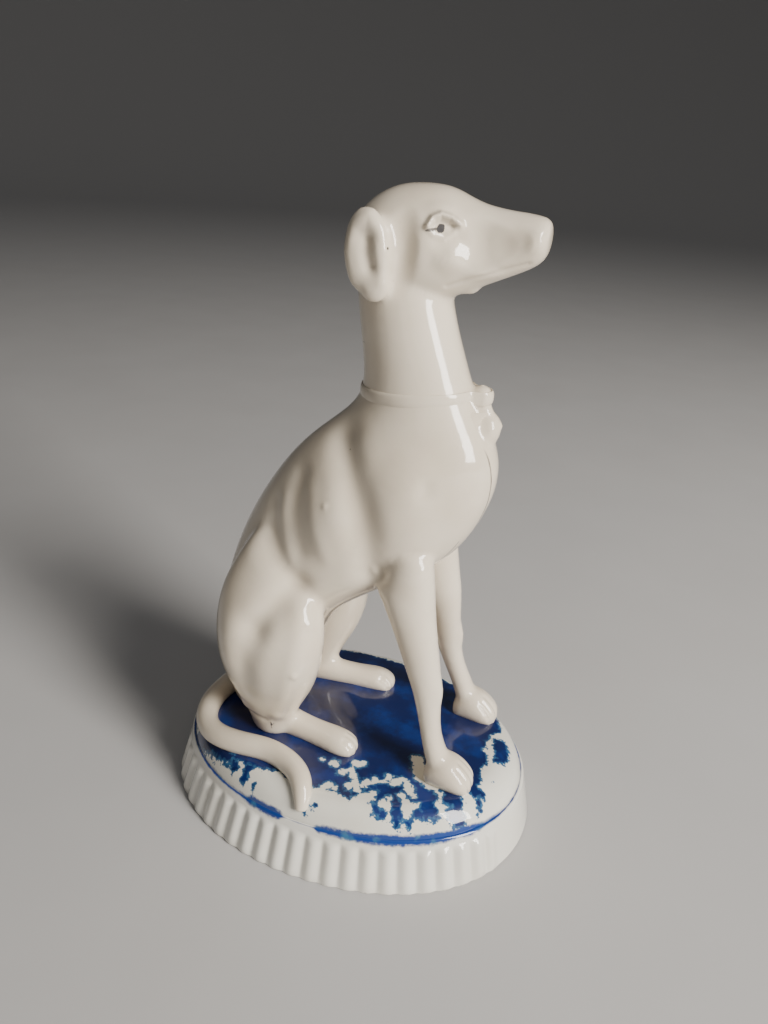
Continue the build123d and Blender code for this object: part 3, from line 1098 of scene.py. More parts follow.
    def slip_fillets(self, dog: bpy.types.Object) -> None:
        """Soften the creases where the forms meet, as a wet brush does, and leave the rest.

        Args:
            dog: The whole dog.
        """
        edges = edges_of(dog)
        for rounds in (40, 50):
            crease = np.clip((hollowness(dog, edges) / self.voxel - 0.02) * 12, 0, 1)
            for _ in range(9):
                crease = np.maximum(crease * 0.92, neighbour_mean(edges, crease))
            group = dog.vertex_groups.new(name="crease")
            for step in range(1, 11):
                members = np.nonzero(np.rint(crease * 10) == step)[0]
                group.add(members.tolist(), step / 10, "REPLACE")
            apply(dog, "SMOOTH", factor=0.5, iterations=rounds, vertex_group="crease")
            dog.vertex_groups.clear()
        apply(dog, "SMOOTH", factor=0.5, iterations=6)

    def refine(self, dog: bpy.types.Object, wanted: Callable[[np.ndarray], np.ndarray]) -> None:
        """Divide the faces whose middles are wanted, for finer modelling.

        Args:
            dog: The whole dog.
            wanted: Says which of the faces' middles are wanted.
        """
        select_faces(dog, wanted)
        bpy.ops.mesh.subdivide(number_cuts=1, smoothness=0.0)
        bpy.ops.object.mode_set(mode="OBJECT")

    def model(self, dog: bpy.types.Object) -> None:
        """Work the muscles, then the eyes, ears, ribs and toes.

        Args:
            dog: The whole dog.
        """
        points = points_of(dog)
        for stroke in both_sides(self.broad_strokes) + list(self.single_strokes):
            stroke.press(points)
        move_points(dog, points)
        self.draw_lines(dog, self.broad_lines, 6)
        self.settle_on_ground(dog)
        self.refine(dog, self.on_head_or_toes)
        self.refine(dog, self.round_eyes)
        self.draw_lines(dog, self.fine_lines + self.toe_lines() + self.ear_lines(), 2)

    def on_head_or_toes(self, middles: np.ndarray) -> np.ndarray:
        """Tell which faces are on the head, a forepaw's toes or a hind foot's.

        Args:
            middles: The faces' middles, in millimetres.

        Returns:
            True for each such face.
        """
        x, z = middles[:, 0], middles[:, 2]
        forepaw_toes = (z < 23) & (x > 19)
        hind_toes = (z < 22) & (x > -4)
        return (z > 106) | forepaw_toes | hind_toes

    def round_eyes(self, middles: np.ndarray) -> np.ndarray:
        """Tell which faces are round the eyes.

        Args:
            middles: The faces' middles, in millimetres.

        Returns:
            True for each such face.
        """
        x, aside, z = middles[:, 0], np.abs(middles[:, 1]), middles[:, 2]
        return (z > 118.8) & (z < 124.6) & (x > 9.5) & (x < 16.5) & (aside > 4.0)

    def draw_lines(self, dog: bpy.types.Object, lines: Sequence[Line], rounds: int) -> None:
        """Draw lines on both of the dog's sides, then wipe the clay.

        Args:
            dog: The whole dog.
            lines: The right side's lines.
            rounds: How many times the surface is wiped smooth.
        """
        points = points_of(dog)
        outward = normals_of(dog)
        skin = BVHTree.FromObject(dog, bpy.context.evaluated_depsgraph_get())
        for line in both_sides(lines):
            line.draw(points, outward, skin)
        move_points(dog, points)
        apply(dog, "SMOOTH", factor=0.5, iterations=rounds)

    def toe_lines(self) -> tuple[Line, ...]:
        """The grooves between the toes of one side's paws.

        Returns:
            The grooves of a forepaw and a hind foot.
        """
        grooves = []
        for across in (-2.0, -0.1, 1.8):
            y = -11.4 + across
            grooves.append(Line(((27.4, y + 1.2, 21.6), (28.8, y + 1.2, 20.0), (29.9, y + 1.2, 17.8),
                                 (30.6, y + 1.2, 15.8)), 0.5, -0.26))
            grooves.append(Line(((3.0, y + 1.0, 20.4), (4.4, y + 1.0, 19.4), (5.3, y + 1.0, 18.0),
                                 (5.6, y + 1.0, 16.2)), 0.5, -0.2))
        return tuple(grooves)

    def ear_lines(self) -> tuple[Line, ...]:
        """The hollow inside one folded ear, and its rolled rim.

        Returns:
            The hollow and the rim.
        """
        hollow = Line(((1.4, -11.2, 118.6), (1.6, -11.4, 116.6), (2.2, -11.2, 114.6)), 1.5, -1.0)
        rim = Line(((-1.0, -10.2, 112.0), (-2.0, -10.4, 116.5), (-1.0, -10.6, 120.6), (1.6, -10.8, 122.4),
                    (4.2, -10.4, 120.0), (4.9, -10.2, 116.0), (4.6, -10.0, 112.5)), 1.1, 0.3)
        return hollow, rim

    def mark_pools_and_shade(self, dog: bpy.types.Object) -> None:
        """Record where the glaze pools and where shade is painted into the creases, for the finish to read.

        Args:
            dog: The whole dog.
        """
        edges = edges_of(dog)
        # Darker crease tint, by how hollow the surface is: partly pooled glaze, partly painted shade.
        glaze_pool_and_shade = np.clip(hollowness(dog, edges) / self.voxel * 14, -0.6, 1)
        for _ in range(10):
            glaze_pool_and_shade = neighbour_mean(edges, glaze_pool_and_shade)
        store_values(dog, "glaze_pool_and_shade", np.clip(glaze_pool_and_shade * 0.9, 0, 0.45))

    def cut(self, dog: bpy.types.Object) -> dict[str, bpy.types.Object]:
        """Cut the whole dog into the pieces that are pressed and joined.

        Args:
            dog: The whole dog.

        Returns:
            Each piece by its node's name.
        """
        pick_up(dog)
        bpy.ops.object.mode_set(mode="EDIT")
        planes = [((0, 0, 0), (0, 1, 0)), ((0, self.ear_cut, 0), (0, 1, 0)),
                  ((0, -self.ear_cut, 0), (0, 1, 0)), (self.leg_cut, self.leg_axis),
                  (self.foot_cut, self.foot_axis)]
        side, back, low, middle, high = self.bead_cuts
        planes += [((0, side, 0), (0, 1, 0)), ((0, -side, 0), (0, 1, 0)), ((back, 0, 0), (1, 0, 0))]
        planes += [((0, 0, level), (0, 0, 1)) for level in (low, middle, high)]
        for place, facing in planes:
            bpy.ops.mesh.select_all(action="SELECT")
            bpy.ops.mesh.bisect(plane_co=Vector(place) * MM, plane_no=facing, threshold=1e-7)
        bpy.ops.object.mode_set(mode="OBJECT")

        def below(m: np.ndarray, place: Point, axis: Point) -> np.ndarray:
            """Tell which points are below a plane, from a place on it and its upward axis."""
            return (m - np.array(place)) @ np.array(axis) < 0

        tests: list[tuple[str, Callable[[np.ndarray], np.ndarray]]] = [
            ("ear", lambda m: (np.abs(m[:, 1]) > self.ear_cut) & (m[:, 2] > 106)),
            ("foreleg", lambda m: below(m, self.leg_cut, self.leg_axis) & (m[:, 0] > 5.6)),
            ("hind_foot", lambda m: below(m, self.foot_cut, self.foot_axis) & (m[:, 0] < 8.0)
                & (m[:, 0] > self.heel_back(m)))]
        pieces = {}
        for label, bottom, top in (("collar_pendant", low, middle), ("collar_knot", middle, high)):
            pieces[label] = self.take(dog, label, lambda m: (np.abs(m[:, 1]) < side) & (m[:, 0] > back)
                                      & (m[:, 2] > bottom) & (m[:, 2] < top))
        for kind, inside in tests + [("body", lambda m: np.ones(len(m), bool))]:
            for flank_name, flank in (("right", -1), ("left", 1)):
                label = f"{kind}_{flank_name}"
                pieces[label] = self.take(dog, label, lambda m: inside(m) & (m[:, 1] * flank > 0))
        bpy.data.objects.remove(dog)
        return pieces

    def heel_back(self, middles: np.ndarray) -> np.ndarray:
        """How far back a hind foot's piece reaches, so that the trunk's own foot stays with the trunk."""
        return np.where(np.abs(middles[:, 1]) > 7.4, -13.2, -11.0)

    def take(self, dog: bpy.types.Object, label: str,
             wanted: Callable[[np.ndarray], np.ndarray]) -> bpy.types.Object:
        """Separate the faces whose middles are wanted, and close the cuts.

        Args:
            dog: What is left of the dog.
            label: The piece's node.
            wanted: Says which of the faces' middles are wanted.

        Returns:
            The closed piece.
        """
        before = set(bpy.data.objects)
        select_faces(dog, wanted)
        bpy.ops.mesh.separate(type="SELECTED")
        bpy.ops.object.mode_set(mode="OBJECT")
        piece = (set(bpy.data.objects) - before).pop()
        pick_up(piece)
        bpy.ops.object.mode_set(mode="EDIT")
        bpy.ops.mesh.select_all(action="SELECT")
        bpy.ops.mesh.fill_holes(sides=0)
        bpy.ops.object.mode_set(mode="OBJECT")
        return settle(piece, label + "_glazed")

    def build(self) -> tuple[dict[str, bpy.types.Object], BVHTree]:
        """Model the dog.

        Returns:
            The pieces by node, and the whole dog's surface for what is laid on it.
        """
        dog = self.blank()
        self.slip_fillets(dog)
        self.model(dog)
        self.mark_pools_and_shade(dog)
        skin = BVHTree.FromObject(dog, bpy.context.evaluated_depsgraph_get())
        return self.cut(dog), skin


# ---- What is laid on the neck -----------------------------------------------------------------------


@dataclass
class Collar:
    """The sprigged collar's band."""

    rear_height: float = 92.3
    rise: float = 0.07
    centre_x: float = 9.0
    half_height: float = 1.25
    half_depth: float = 0.36
    stations: int = 180

    def band(self, skin: BVHTree) -> bpy.types.Object:
        """Lay the band round the neck.

        Args:
            skin: The dog's surface.

        Returns:
            The closed band.
        """
        put_down()
        bpy.ops.mesh.primitive_torus_add(
            major_radius=10 * MM, minor_radius=MM, major_segments=self.stations, minor_segments=18)
        band = settle(bpy.context.object, "collar_glazed")
        points = points_of(band)
        angle = np.arctan2(points[:, 1], points[:, 0])
        out = np.hypot(points[:, 0], points[:, 1]) - 10
        placed = np.empty_like(points)
        for index, (turn, depth, height) in enumerate(zip(angle, out, points[:, 2])):
            facing = Vector((math.cos(turn), math.sin(turn), 0))
            level = self.rear_height + self.rise * (self.centre_x + 11 * facing.x)
            start = Vector((self.centre_x, 0, level)) * MM
            hit = skin.ray_cast(start, facing)[0]
            distance = (hit - start).length / MM
            swell = 1 + 0.1 * math.sin(3 * turn + 1) + 0.06 * math.sin(7 * turn)
            spot = start / MM + facing * (distance - 0.1 + depth * self.half_depth * swell)
            placed[index] = (spot.x, spot.y, spot.z + height * self.half_height)
        move_points(band, placed)
        return band

    def build(self, skin: BVHTree) -> dict[str, bpy.types.Object]:
        """Make the collar's band, by node."""
        return {"collar": self.band(skin)}


@dataclass
class Tail:
    """The tail: a roll of clay that curls round the haunch and along the ground."""

    # Middle of the roll and its radius.
    route: tuple[tuple[float, float, float, float], ...] = (
        (-21.5, 8.5, 21.5, 2.6), (-25.8, 5.0, 19.4, 2.6), (-28.6, 0.6, 18.0, 2.5),
        (-30.4, -5.0, 17.2, 2.4), (-30.8, -9.4, 16.7, 2.4), (-29.4, -13.6, 16.1, 2.4),
        (-26.4, -16.8, 16.1, 2.4), (-22.0, -18.4, 16.7, 2.4), (-17.7, -18.7, 17.1, 2.4),
        (-13.7, -18.4, 17.3, 2.4), (-9.9, -18.5, 17.3, 2.4), (-5.5, -19.9, 17.2, 2.4),
        (-2.2, -22.2, 17.0, 2.3), (-0.6, -24.6, 15.7, 2.1), (0.0, -26.9, 13.0, 1.2))

    def build(self) -> bpy.types.Object:
        """Roll the tail."""
        put_down()
        bpy.ops.curve.primitive_nurbs_path_add()
        curve = bpy.context.object
        curve.data.splines.clear()
        spline = curve.data.splines.new("NURBS")
        spline.points.add(len(self.route) - 1)
        for point, (x, y, z, radius) in zip(spline.points, self.route):
            point.co = (x * MM, y * MM, z * MM, 1.0)
            point.radius = radius
        spline.order_u = 4
        spline.use_endpoint_u = True
        spline.resolution_u = 12
        curve.data.dimensions = "3D"
        curve.data.bevel_depth = MM
        curve.data.bevel_resolution = 8
        curve.data.use_fill_caps = True
        bpy.ops.object.convert(target="MESH")
        tail = settle(bpy.context.object, "tail_glazed")
        apply(tail, "REMESH", mode="VOXEL", voxel_size=0.3 * MM, use_smooth_shade=True)
        apply(tail, "SMOOTH", factor=0.5, iterations=10)
        return tail


# ---- The plinth -----------------------------------------------------------------------------------


@dataclass(frozen=True)
class Dab:
    """One dab of the brush from a start to an end, in millimetres on the ground."""

    start: tuple[float, float]
    end: tuple[float, float]
    half_width: float

    def depth(self, x: np.ndarray, y: np.ndarray) -> np.ndarray:
        """How far inside the dab each point is, and below 0 outside.

        Args:
            x: Distances forwards, in millimetres.
            y: Distances to the dog's left.

        Returns:
            Depths in millimetres.
        """
        run = np.array(self.end) - np.array(self.start)
        away = np.stack([x, y], axis=1) - self.start
        share = np.clip(away @ run / max(run @ run, 1e-9), 0, 1)
        return self.half_width - np.linalg.norm(away - share[:, None] * run, axis=1)


@dataclass(frozen=True)
class Paint:
    """Where the brush left blue on the ground: a wash, white places left in it, and blue dabs in those."""

    # How far out the wash goes, as a share of the oval, by the turn round it in degrees.
    wash: tuple[tuple[float, float], ...] = (
        (-180, 0.94), (-150, 0.97), (-100, 0.97), (-89, 0.82), (-78, 0.84), (-66, 0.94), (-59, 0.97),
        (-46, 0.96),
        (-41, 1.0), (-36, 1.0), (-28, 0.99), (-22, 0.94), (-9, 0.86), (7, 0.81), (17, 0.84), (21, 0.92),
        (34, 0.97), (50, 0.93), (62, 0.87), (90, 0.85), (130, 0.88), (180, 0.94))
    white: tuple[Dab, ...] = (
        Dab((-27.3, -18.4), (-14.1, -25.3), 2.1), Dab((-14.1, -25.3), (-3.8, -25.7), 3.3),
        Dab((-6.5, -23.9), (-2.8, -25.3), 1.8), Dab((-11.0, -23.5), (-6.2, -23.3), 1.5),
        Dab((-2.2, -25.2), (1.7, -25.4), 1.8), Dab((2.4, -15.5), (2.4, -15.5), 1.1),
        Dab((6.3, -13.9), (7.7, -13.2), 0.8), Dab((-0.5, -15.4), (-0.5, -15.4), 0.5),
        Dab((4.4, -17.2), (6.0, -15.7), 0.7), Dab((6.2, -15.9), (9.1, -20.0), 0.8),
        Dab((7.0, -19.7), (7.4, -20.0), 0.8), Dab((3.1, -21.3), (3.4, -21.0), 0.9),
        Dab((4.8, -21.4), (4.8, -21.4), 0.7), Dab((9.9, -18.2), (10.3, -17.5), 0.9),
        Dab((11.2, -16.2), (11.2, -16.2), 0.7), Dab((10.1, -17.9), (13.4, -15.5), 0.4),
        Dab((13.8, -14.7), (13.8, -14.7), 0.9), Dab((15.3, -15.3), (16.0, -14.8), 1.0),
        Dab((16.7, -13.9), (17.3, -14.4), 0.6), Dab((17.8, -14.8), (19.6, -16.7), 0.9),
        Dab((17.7, -7.6), (19.9, -11.7), 1.4), Dab((20.8, -12.3), (22.4, -13.0), 1.1),
        Dab((23.6, -13.4), (24.9, -14.8), 0.6), Dab((2.5, -24.3), (4.9, -24.2), 2.0),
        Dab((3.1, -26.4), (17.9, -23.4), 2.0), Dab((9.7, -23.1), (11.9, -20.8), 1.3),
        Dab((11.6, -21.7), (12.6, -19.6), 0.8), Dab((11.6, -23.5), (13.3, -23.4), 1.1),
        Dab((17.9, -23.5), (22.1, -21.9), 1.1), Dab((21.4, -21.9), (29.5, -16.9), 0.6),
        Dab((15.3, -21.5), (16.0, -22.4), 1.4), Dab((15.7, -19.8), (16.0, -20.2), 0.7),
        Dab((17.7, -17.8), (18.9, -19.3), 0.9), Dab((19.4, -20.5), (21.6, -19.0), 0.9),
        Dab((19.9, -21.6), (20.3, -21.8), 1.0), Dab((25.5, -16.7), (26.2, -17.1), 1.1),
        Dab((26.4, -17.7), (26.4, -18.6), 0.9), Dab((29.5, -12.8), (30.1, -12.9), 1.2),
        Dab((30.0, -14.6), (31.5, -13.6), 1.1), Dab((31.5, -14.4), (30.5, -15.7), 0.9),
        Dab((31.5, -12.5), (32.7, -11.6), 0.6), Dab((27.6, -16.1), (27.6, -16.2), 0.5),
        Dab((32.8, -4.4), (33.5, -8.2), 2.0), Dab((34.7, -1.6), (35.0, -6.9), 2.2),
        Dab((36.5, 1.6), (36.1, -3.7), 1.6), Dab((34.0, -9.8), (33.5, -11.7), 1.3),
        Dab((30.8, 4.3), (32.4, 0.3), 1.0), Dab((30.6, 1.7), (31.4, 1.3), 0.7),
        Dab((34.2, 13.0), (36.5, 6.6), 1.0), Dab((32.5, 15.8), (34.5, 12.5), 0.9))
    blue: tuple[Dab, ...] = (
        Dab((-30.1, -15.4), (-27.8, -17.4), 1.2), Dab((-27.8, -17.4), (-23.2, -19.5), 1.2),
        Dab((-23.1, -19.6), (-19.2, -21.2), 1.2), Dab((-18.6, -20.7), (-16.8, -22.7), 0.9),
        Dab((-17.2, -20.2), (-12.2, -21.2), 1.5), Dab((-12.2, -21.2), (-8.3, -20.4), 1.5),
        Dab((-8.4, -20.1), (-5.8, -21.0), 1.2), Dab((-13.9, -24.1), (-13.9, -22.7), 0.9),
        Dab((17.3, -19.7), (17.7, -20.5), 1.0), Dab((18.0, -21.5), (18.5, -22.6), 1.1),
        Dab((13.7, -22.2), (14.3, -23.0), 0.9), Dab((14.9, -23.1), (15.8, -22.8), 0.6),
        Dab((5.9, -17.4), (6.4, -18.6), 0.4), Dab((21.2, -15.8), (23.3, -15.8), 1.5),
        Dab((23.0, -18.0), (24.2, -18.5), 1.6), Dab((22.0, -20.1), (23.8, -19.2), 1.0),
        Dab((20.9, -22.0), (20.9, -22.3), 0.5), Dab((28.2, -16.7), (29.3, -16.5), 1.5),
        Dab((26.6, -14.8), (28.1, -14.5), 1.4), Dab((30.9, -10.7), (32.3, -10.4), 0.8),
        Dab((32.2, -12.0), (32.6, -12.8), 0.6), Dab((33.0, 4.7), (33.9, 1.7), 1.8),
        Dab((33.3, -0.3), (34.9, 1.2), 0.8), Dab((-11.3, -25.2), (-11.2, -26.6), 0.25),
        Dab((2.7, -25.7), (0.8, -26.5), 0.25), Dab((33.9, -6.1), (33.9, -6.1), 0.25))

    def depth(self, x: np.ndarray, y: np.ndarray, ground: tuple[float, float]) -> np.ndarray:
        """How far inside the blue each point is.

        Args:
            x: Distances forwards, in millimetres.
            y: Distances to the dog's left.
            ground: The ground's half length and half width.

        Returns:
            Depths in millimetres, above 0 in the blue.
        """
        turns, shares = zip(*self.wash)
        turn = np.degrees(np.arctan2(y / ground[1], x / ground[0]))
        reach = np.hypot(x / ground[0], y / ground[1])
        depth = (np.interp(turn, turns, shares) - reach) * (ground[0] + ground[1]) / 2
        for dab in self.white:
            depth = np.minimum(depth, -dab.depth(x, y))
        for dab in self.blue:
            depth = np.maximum(depth, dab.depth(x, y))
        return depth


@dataclass
class Plinth:
    """The oval plinth: its reeded wall, the domed ground and the slab underneath."""

    foot: tuple[float, float] = (42.0, 31.3)
    top: tuple[float, float] = (38.2, 28.1)
    height: float = 10.9
    wall: float = 4.0
    reed_pitch: float = 3.93
    reed_relief: float = 0.62
    reeds_half_run: float = 43.5
    reed_top: float = 8.9
    ground: tuple[float, float] = (37.5, 27.4)
    crown: float = 16.5
    crown_fall: float = 0.6
    edge_width: float = 6.5
    round_points: int = 1080
    bat_recess: float = 0.8
    bat_thickness: float = 2.9
    vent_radius: float = 2.5
    paint: Paint = field(default_factory=Paint)

    def ring_stack(self, name: str, steps: Sequence[Point], points: int,
                   closed: bool) -> bpy.types.Object:
        """Extrude an oval outline through steps.

        Args:
            name: The piece's name.
            steps: Each ring's half length, half width and height.
            points: Vertices round the oval.
            closed: True to join the last ring to the first, False to cap both.

        Returns:
            The closed piece.
        """
        put_down()
        bpy.ops.mesh.primitive_circle_add(
            vertices=points, radius=MM, fill_type="NOTHING" if closed else "NGON")
        piece = settle(bpy.context.object, name)
        bpy.ops.object.mode_set(mode="EDIT")
        bpy.ops.mesh.select_all(action="SELECT")
        long, wide, level = steps[0]
        bpy.ops.transform.resize(value=(long, wide, 1.0), center_override=(0, 0, 0))
        bpy.ops.transform.translate(value=(0, 0, level * MM))
        for now_long, now_wide, height in steps[1:]:
            move = {"value": (0, 0, (height - level) * MM)}
            if closed:
                bpy.ops.mesh.extrude_edges_move(TRANSFORM_OT_translate=move)
            else:
                bpy.ops.mesh.extrude_region_move(TRANSFORM_OT_translate=move)
            ratio = (now_long / long, now_wide / wide, 1.0)
            bpy.ops.transform.resize(value=ratio, center_override=(0, 0, height * MM))
            long, wide, level = now_long, now_wide, height
        if closed:
            bridge_open_rims()
        bpy.ops.mesh.select_all(action="SELECT")
        bpy.ops.mesh.normals_make_consistent(inside=False)
        bpy.ops.object.mode_set(mode="OBJECT")
        return piece

    def lean(self, height: float) -> float:
        """How far in the wall's outside is at a height."""
        return (self.foot[0] - self.top[0]) * height / self.height

    def build_wall(self) -> bpy.types.Object:
        """Make the wall and press its reeds.

        Returns:
            The wall.
        """
        inner = self.wall
        outside = [(self.lean(0) + 0.9, 0.0), (0.35, 0.05), (0.10, 0.3)]
        outside += [(self.lean(z), z) for z in np.linspace(0.7, 7.7, 10)]
        outside += [(self.lean(z), z) for z in np.linspace(8.0, 9.9, 10)]
        lip = self.lean(self.height)
        outside += [(lip - 0.28, 10.2), (lip - 0.12, 10.5), (lip + 0.12, 10.72), (lip + 0.45, 10.8),
                    (lip + 0.8, 10.7)]
        inside = [(lip + 1.1, 10.3), (lip + inner, 10.3)] + [
            (self.lean(z) + inner, z) for z in (8.0, 5.0, 2.0, 0.4)] + [(inner - 0.4, 0.0)]
        rings = [(self.foot[0] - inset, self.foot[1] - inset, z) for inset, z in outside + inside]
        wall = self.ring_stack("plinth_wall_glazed", rings, self.round_points, True)
        points = points_of(wall)
        out = np.hypot(points[:, 0] / self.foot[0], points[:, 1] / self.foot[1])
        turn = np.arctan2(points[:, 1] / self.foot[1], points[:, 0] / self.foot[0])
        run = self.arc_from_middle(turn)
        ridge = np.abs(np.cos(np.pi * run / self.reed_pitch)) ** 1.5
        ends = np.clip((self.reeds_half_run - np.abs(run)) / 3.0 + 0.5, 0, 1)
        level = points[:, 2]
        top = np.clip((self.reed_top - level) / 0.9, 0, 1)
        bottom = np.clip((level + 0.35) / 1.4, 0, 1)
        face = out > (self.foot[0] - self.lean(self.height) - 0.7) / self.foot[0]
        lift = self.reed_relief * ridge * ends * np.sqrt(top) * bottom * face
        facing = np.stack([np.cos(turn) / self.foot[0], np.sin(turn) / self.foot[1]], axis=1)
        facing /= np.linalg.norm(facing, axis=1)[:, None]
        points[:, :2] += facing * lift[:, None]
        self.press_out_of_true(wall, points)
        return wall

    def press_out_of_true(self, piece: bpy.types.Object, points: np.ndarray) -> None:
        """Give a piece the plinth's hand-made outline, fuller at the corners and at the front.

        Args:
            piece: The wall or the ground. It also gets each point's share of the true oval.
            points: Its points on the true oval.
        """
        store_values(piece, "along", points[:, 0] / self.ground[0])
        store_values(piece, "across", points[:, 1] / self.ground[1])
        turn = np.arctan2(points[:, 1] / self.foot[1], points[:, 0] / self.foot[0])
        x = points[:, 0]
        rise = np.clip(points[:, 2] / self.height, 0, 1)
        x[x < 0] *= 0.968 - 0.02 * (1 - rise[x < 0])
        x[x > 0] *= 1 + 0.024 * rise[x > 0] - 0.013 * (1 - rise[x > 0])
        points[:, :2] *= (1 + 0.016 * np.sin(2 * turn) ** 2)[:, None]
        move_points(piece, points)

    def arc_from_middle(self, turn: np.ndarray) -> np.ndarray:
        """How far along the foot each turn is from the middle of its long side, in millimetres.

        Args:
            turn: Turns round the oval, in radians.

        Returns:
            Distances in millimetres, above 0 towards the front.
        """
        quarter = np.linspace(0, math.pi / 2, 400)
        speed = np.hypot(self.foot[0] * np.cos(quarter), self.foot[1] * np.sin(quarter))
        length = np.concatenate([[0], np.cumsum((speed[1:] + speed[:-1]) / 2 * np.diff(quarter))])
        from_middle = np.arcsin(np.clip(np.cos(turn), -1, 1))
        return np.sign(from_middle) * np.interp(np.abs(from_middle), quarter, length)

    def ground_height(self, share: float) -> float:
        """The ground's height at a share of the way out: a flat dome with a round cushioned edge.

        Args:
            share: The share, from 0 in the middle to 1 at the groove.

        Returns:
            The height, in millimetres.
        """
        flat = self.ground[0] - self.edge_width
        out = share * self.ground[0]
        shoulder = self.crown - self.crown_fall
        if out <= flat:
            return self.crown - self.crown_fall * (out / flat) ** 2
        drop = shoulder - self.height
        bend = (self.edge_width ** 2 + drop ** 2) / (2 * drop)
        return shoulder - bend + math.sqrt(bend ** 2 - (out - flat) ** 2)

    def build_ground(self) -> bpy.types.Object:
        """Make the domed ground, with the faint lumps of thick glaze.

        Returns:
            The ground.
        """
        long, wide = self.ground
        steps = [(long - 2.4, wide - 2.4, 10.1), (long - 0.2, wide - 0.2, 10.1), (long, wide, 10.5)]
        shares = [1.0, 0.998, 0.994, 0.988, 0.98, 0.972] + list(np.linspace(0.963, 0.02, 84))
        steps += [(long * share, wide * share, self.ground_height(share)) for share in shares]
        ground = self.ring_stack("mound_top_glazed", steps, 640, False)
        points = points_of(ground)
        x, y = points[:, 0], points[:, 1]
        lumps = (np.sin(x / 3.1 + 1.7 * np.sin(y / 4.3)) * np.sin(y / 2.7 + 1.3 * np.sin(x / 5.1))
                 + 0.5 * np.sin(x / 1.3 + 2.0) * np.sin(y / 1.7 + x / 6.0))
        reach = np.hypot(x / long, y / wide)
        top_face = points[:, 2] > 10.7
        points[:, 2] += 0.10 * lumps * np.clip((1.0 - reach) * 12, 0, 1) * top_face
        self.press_out_of_true(ground, points)
        store_values(ground, "blue", self.paint.depth(points[:, 0], points[:, 1], self.ground))
        return ground

    def build_bat(self) -> bpy.types.Object:
        """Make the slab that closes the underside, with its round steam vent.

        Returns:
            The slab.
        """
        put_down()
        rim = self.wall + 0.12
        bpy.ops.mesh.primitive_circle_add(
            vertices=200, radius=self.vent_radius * MM, fill_type="NOTHING",
            location=(0, 0, self.bat_recess * MM))
        bat = settle(bpy.context.object, "floor_bat_biscuit")
        bpy.ops.object.mode_set(mode="EDIT")
        bpy.ops.mesh.select_all(action="SELECT")
        wide = (self.foot[0] - rim, self.foot[1] - rim)
        vent = (self.vent_radius, self.vent_radius)
        # The underside is a little hollow between its vent and its rim.
        moves = [((3.0, 3.0), 0.0), ((12.0, 10.0), 0.06), ((24.0, 18.0), 0.14),
                 ((wide[0] - 1.0, wide[1] - 1.0), 0.1), (wide, 0.0),
                 (wide, self.bat_thickness), (vent, self.bat_thickness)]
        size, level = vent, 0.0
        for now, height in moves:
            bpy.ops.mesh.extrude_edges_move(TRANSFORM_OT_translate={"value": (0, 0, (height - level) * MM)})
            ratio = (now[0] / size[0], now[1] / size[1], 1.0)
            bpy.ops.transform.resize(value=ratio, center_override=(0, 0, (self.bat_recess + height) * MM))
            size, level = now, height
        bridge_open_rims()
        bpy.ops.mesh.select_all(action="SELECT")
        bpy.ops.mesh.normals_make_consistent(inside=False)
        bpy.ops.object.mode_set(mode="OBJECT")
        return bat

    def build(self) -> dict[str, bpy.types.Object]:
        """Make the plinth's pieces, by node."""
        return {
            "plinth_wall": self.build_wall(),
            "mound_top": self.build_ground(),
            "floor_bat": self.build_bat(),
        }


# ---- Studio ---------------------------------------------------------------------------------------


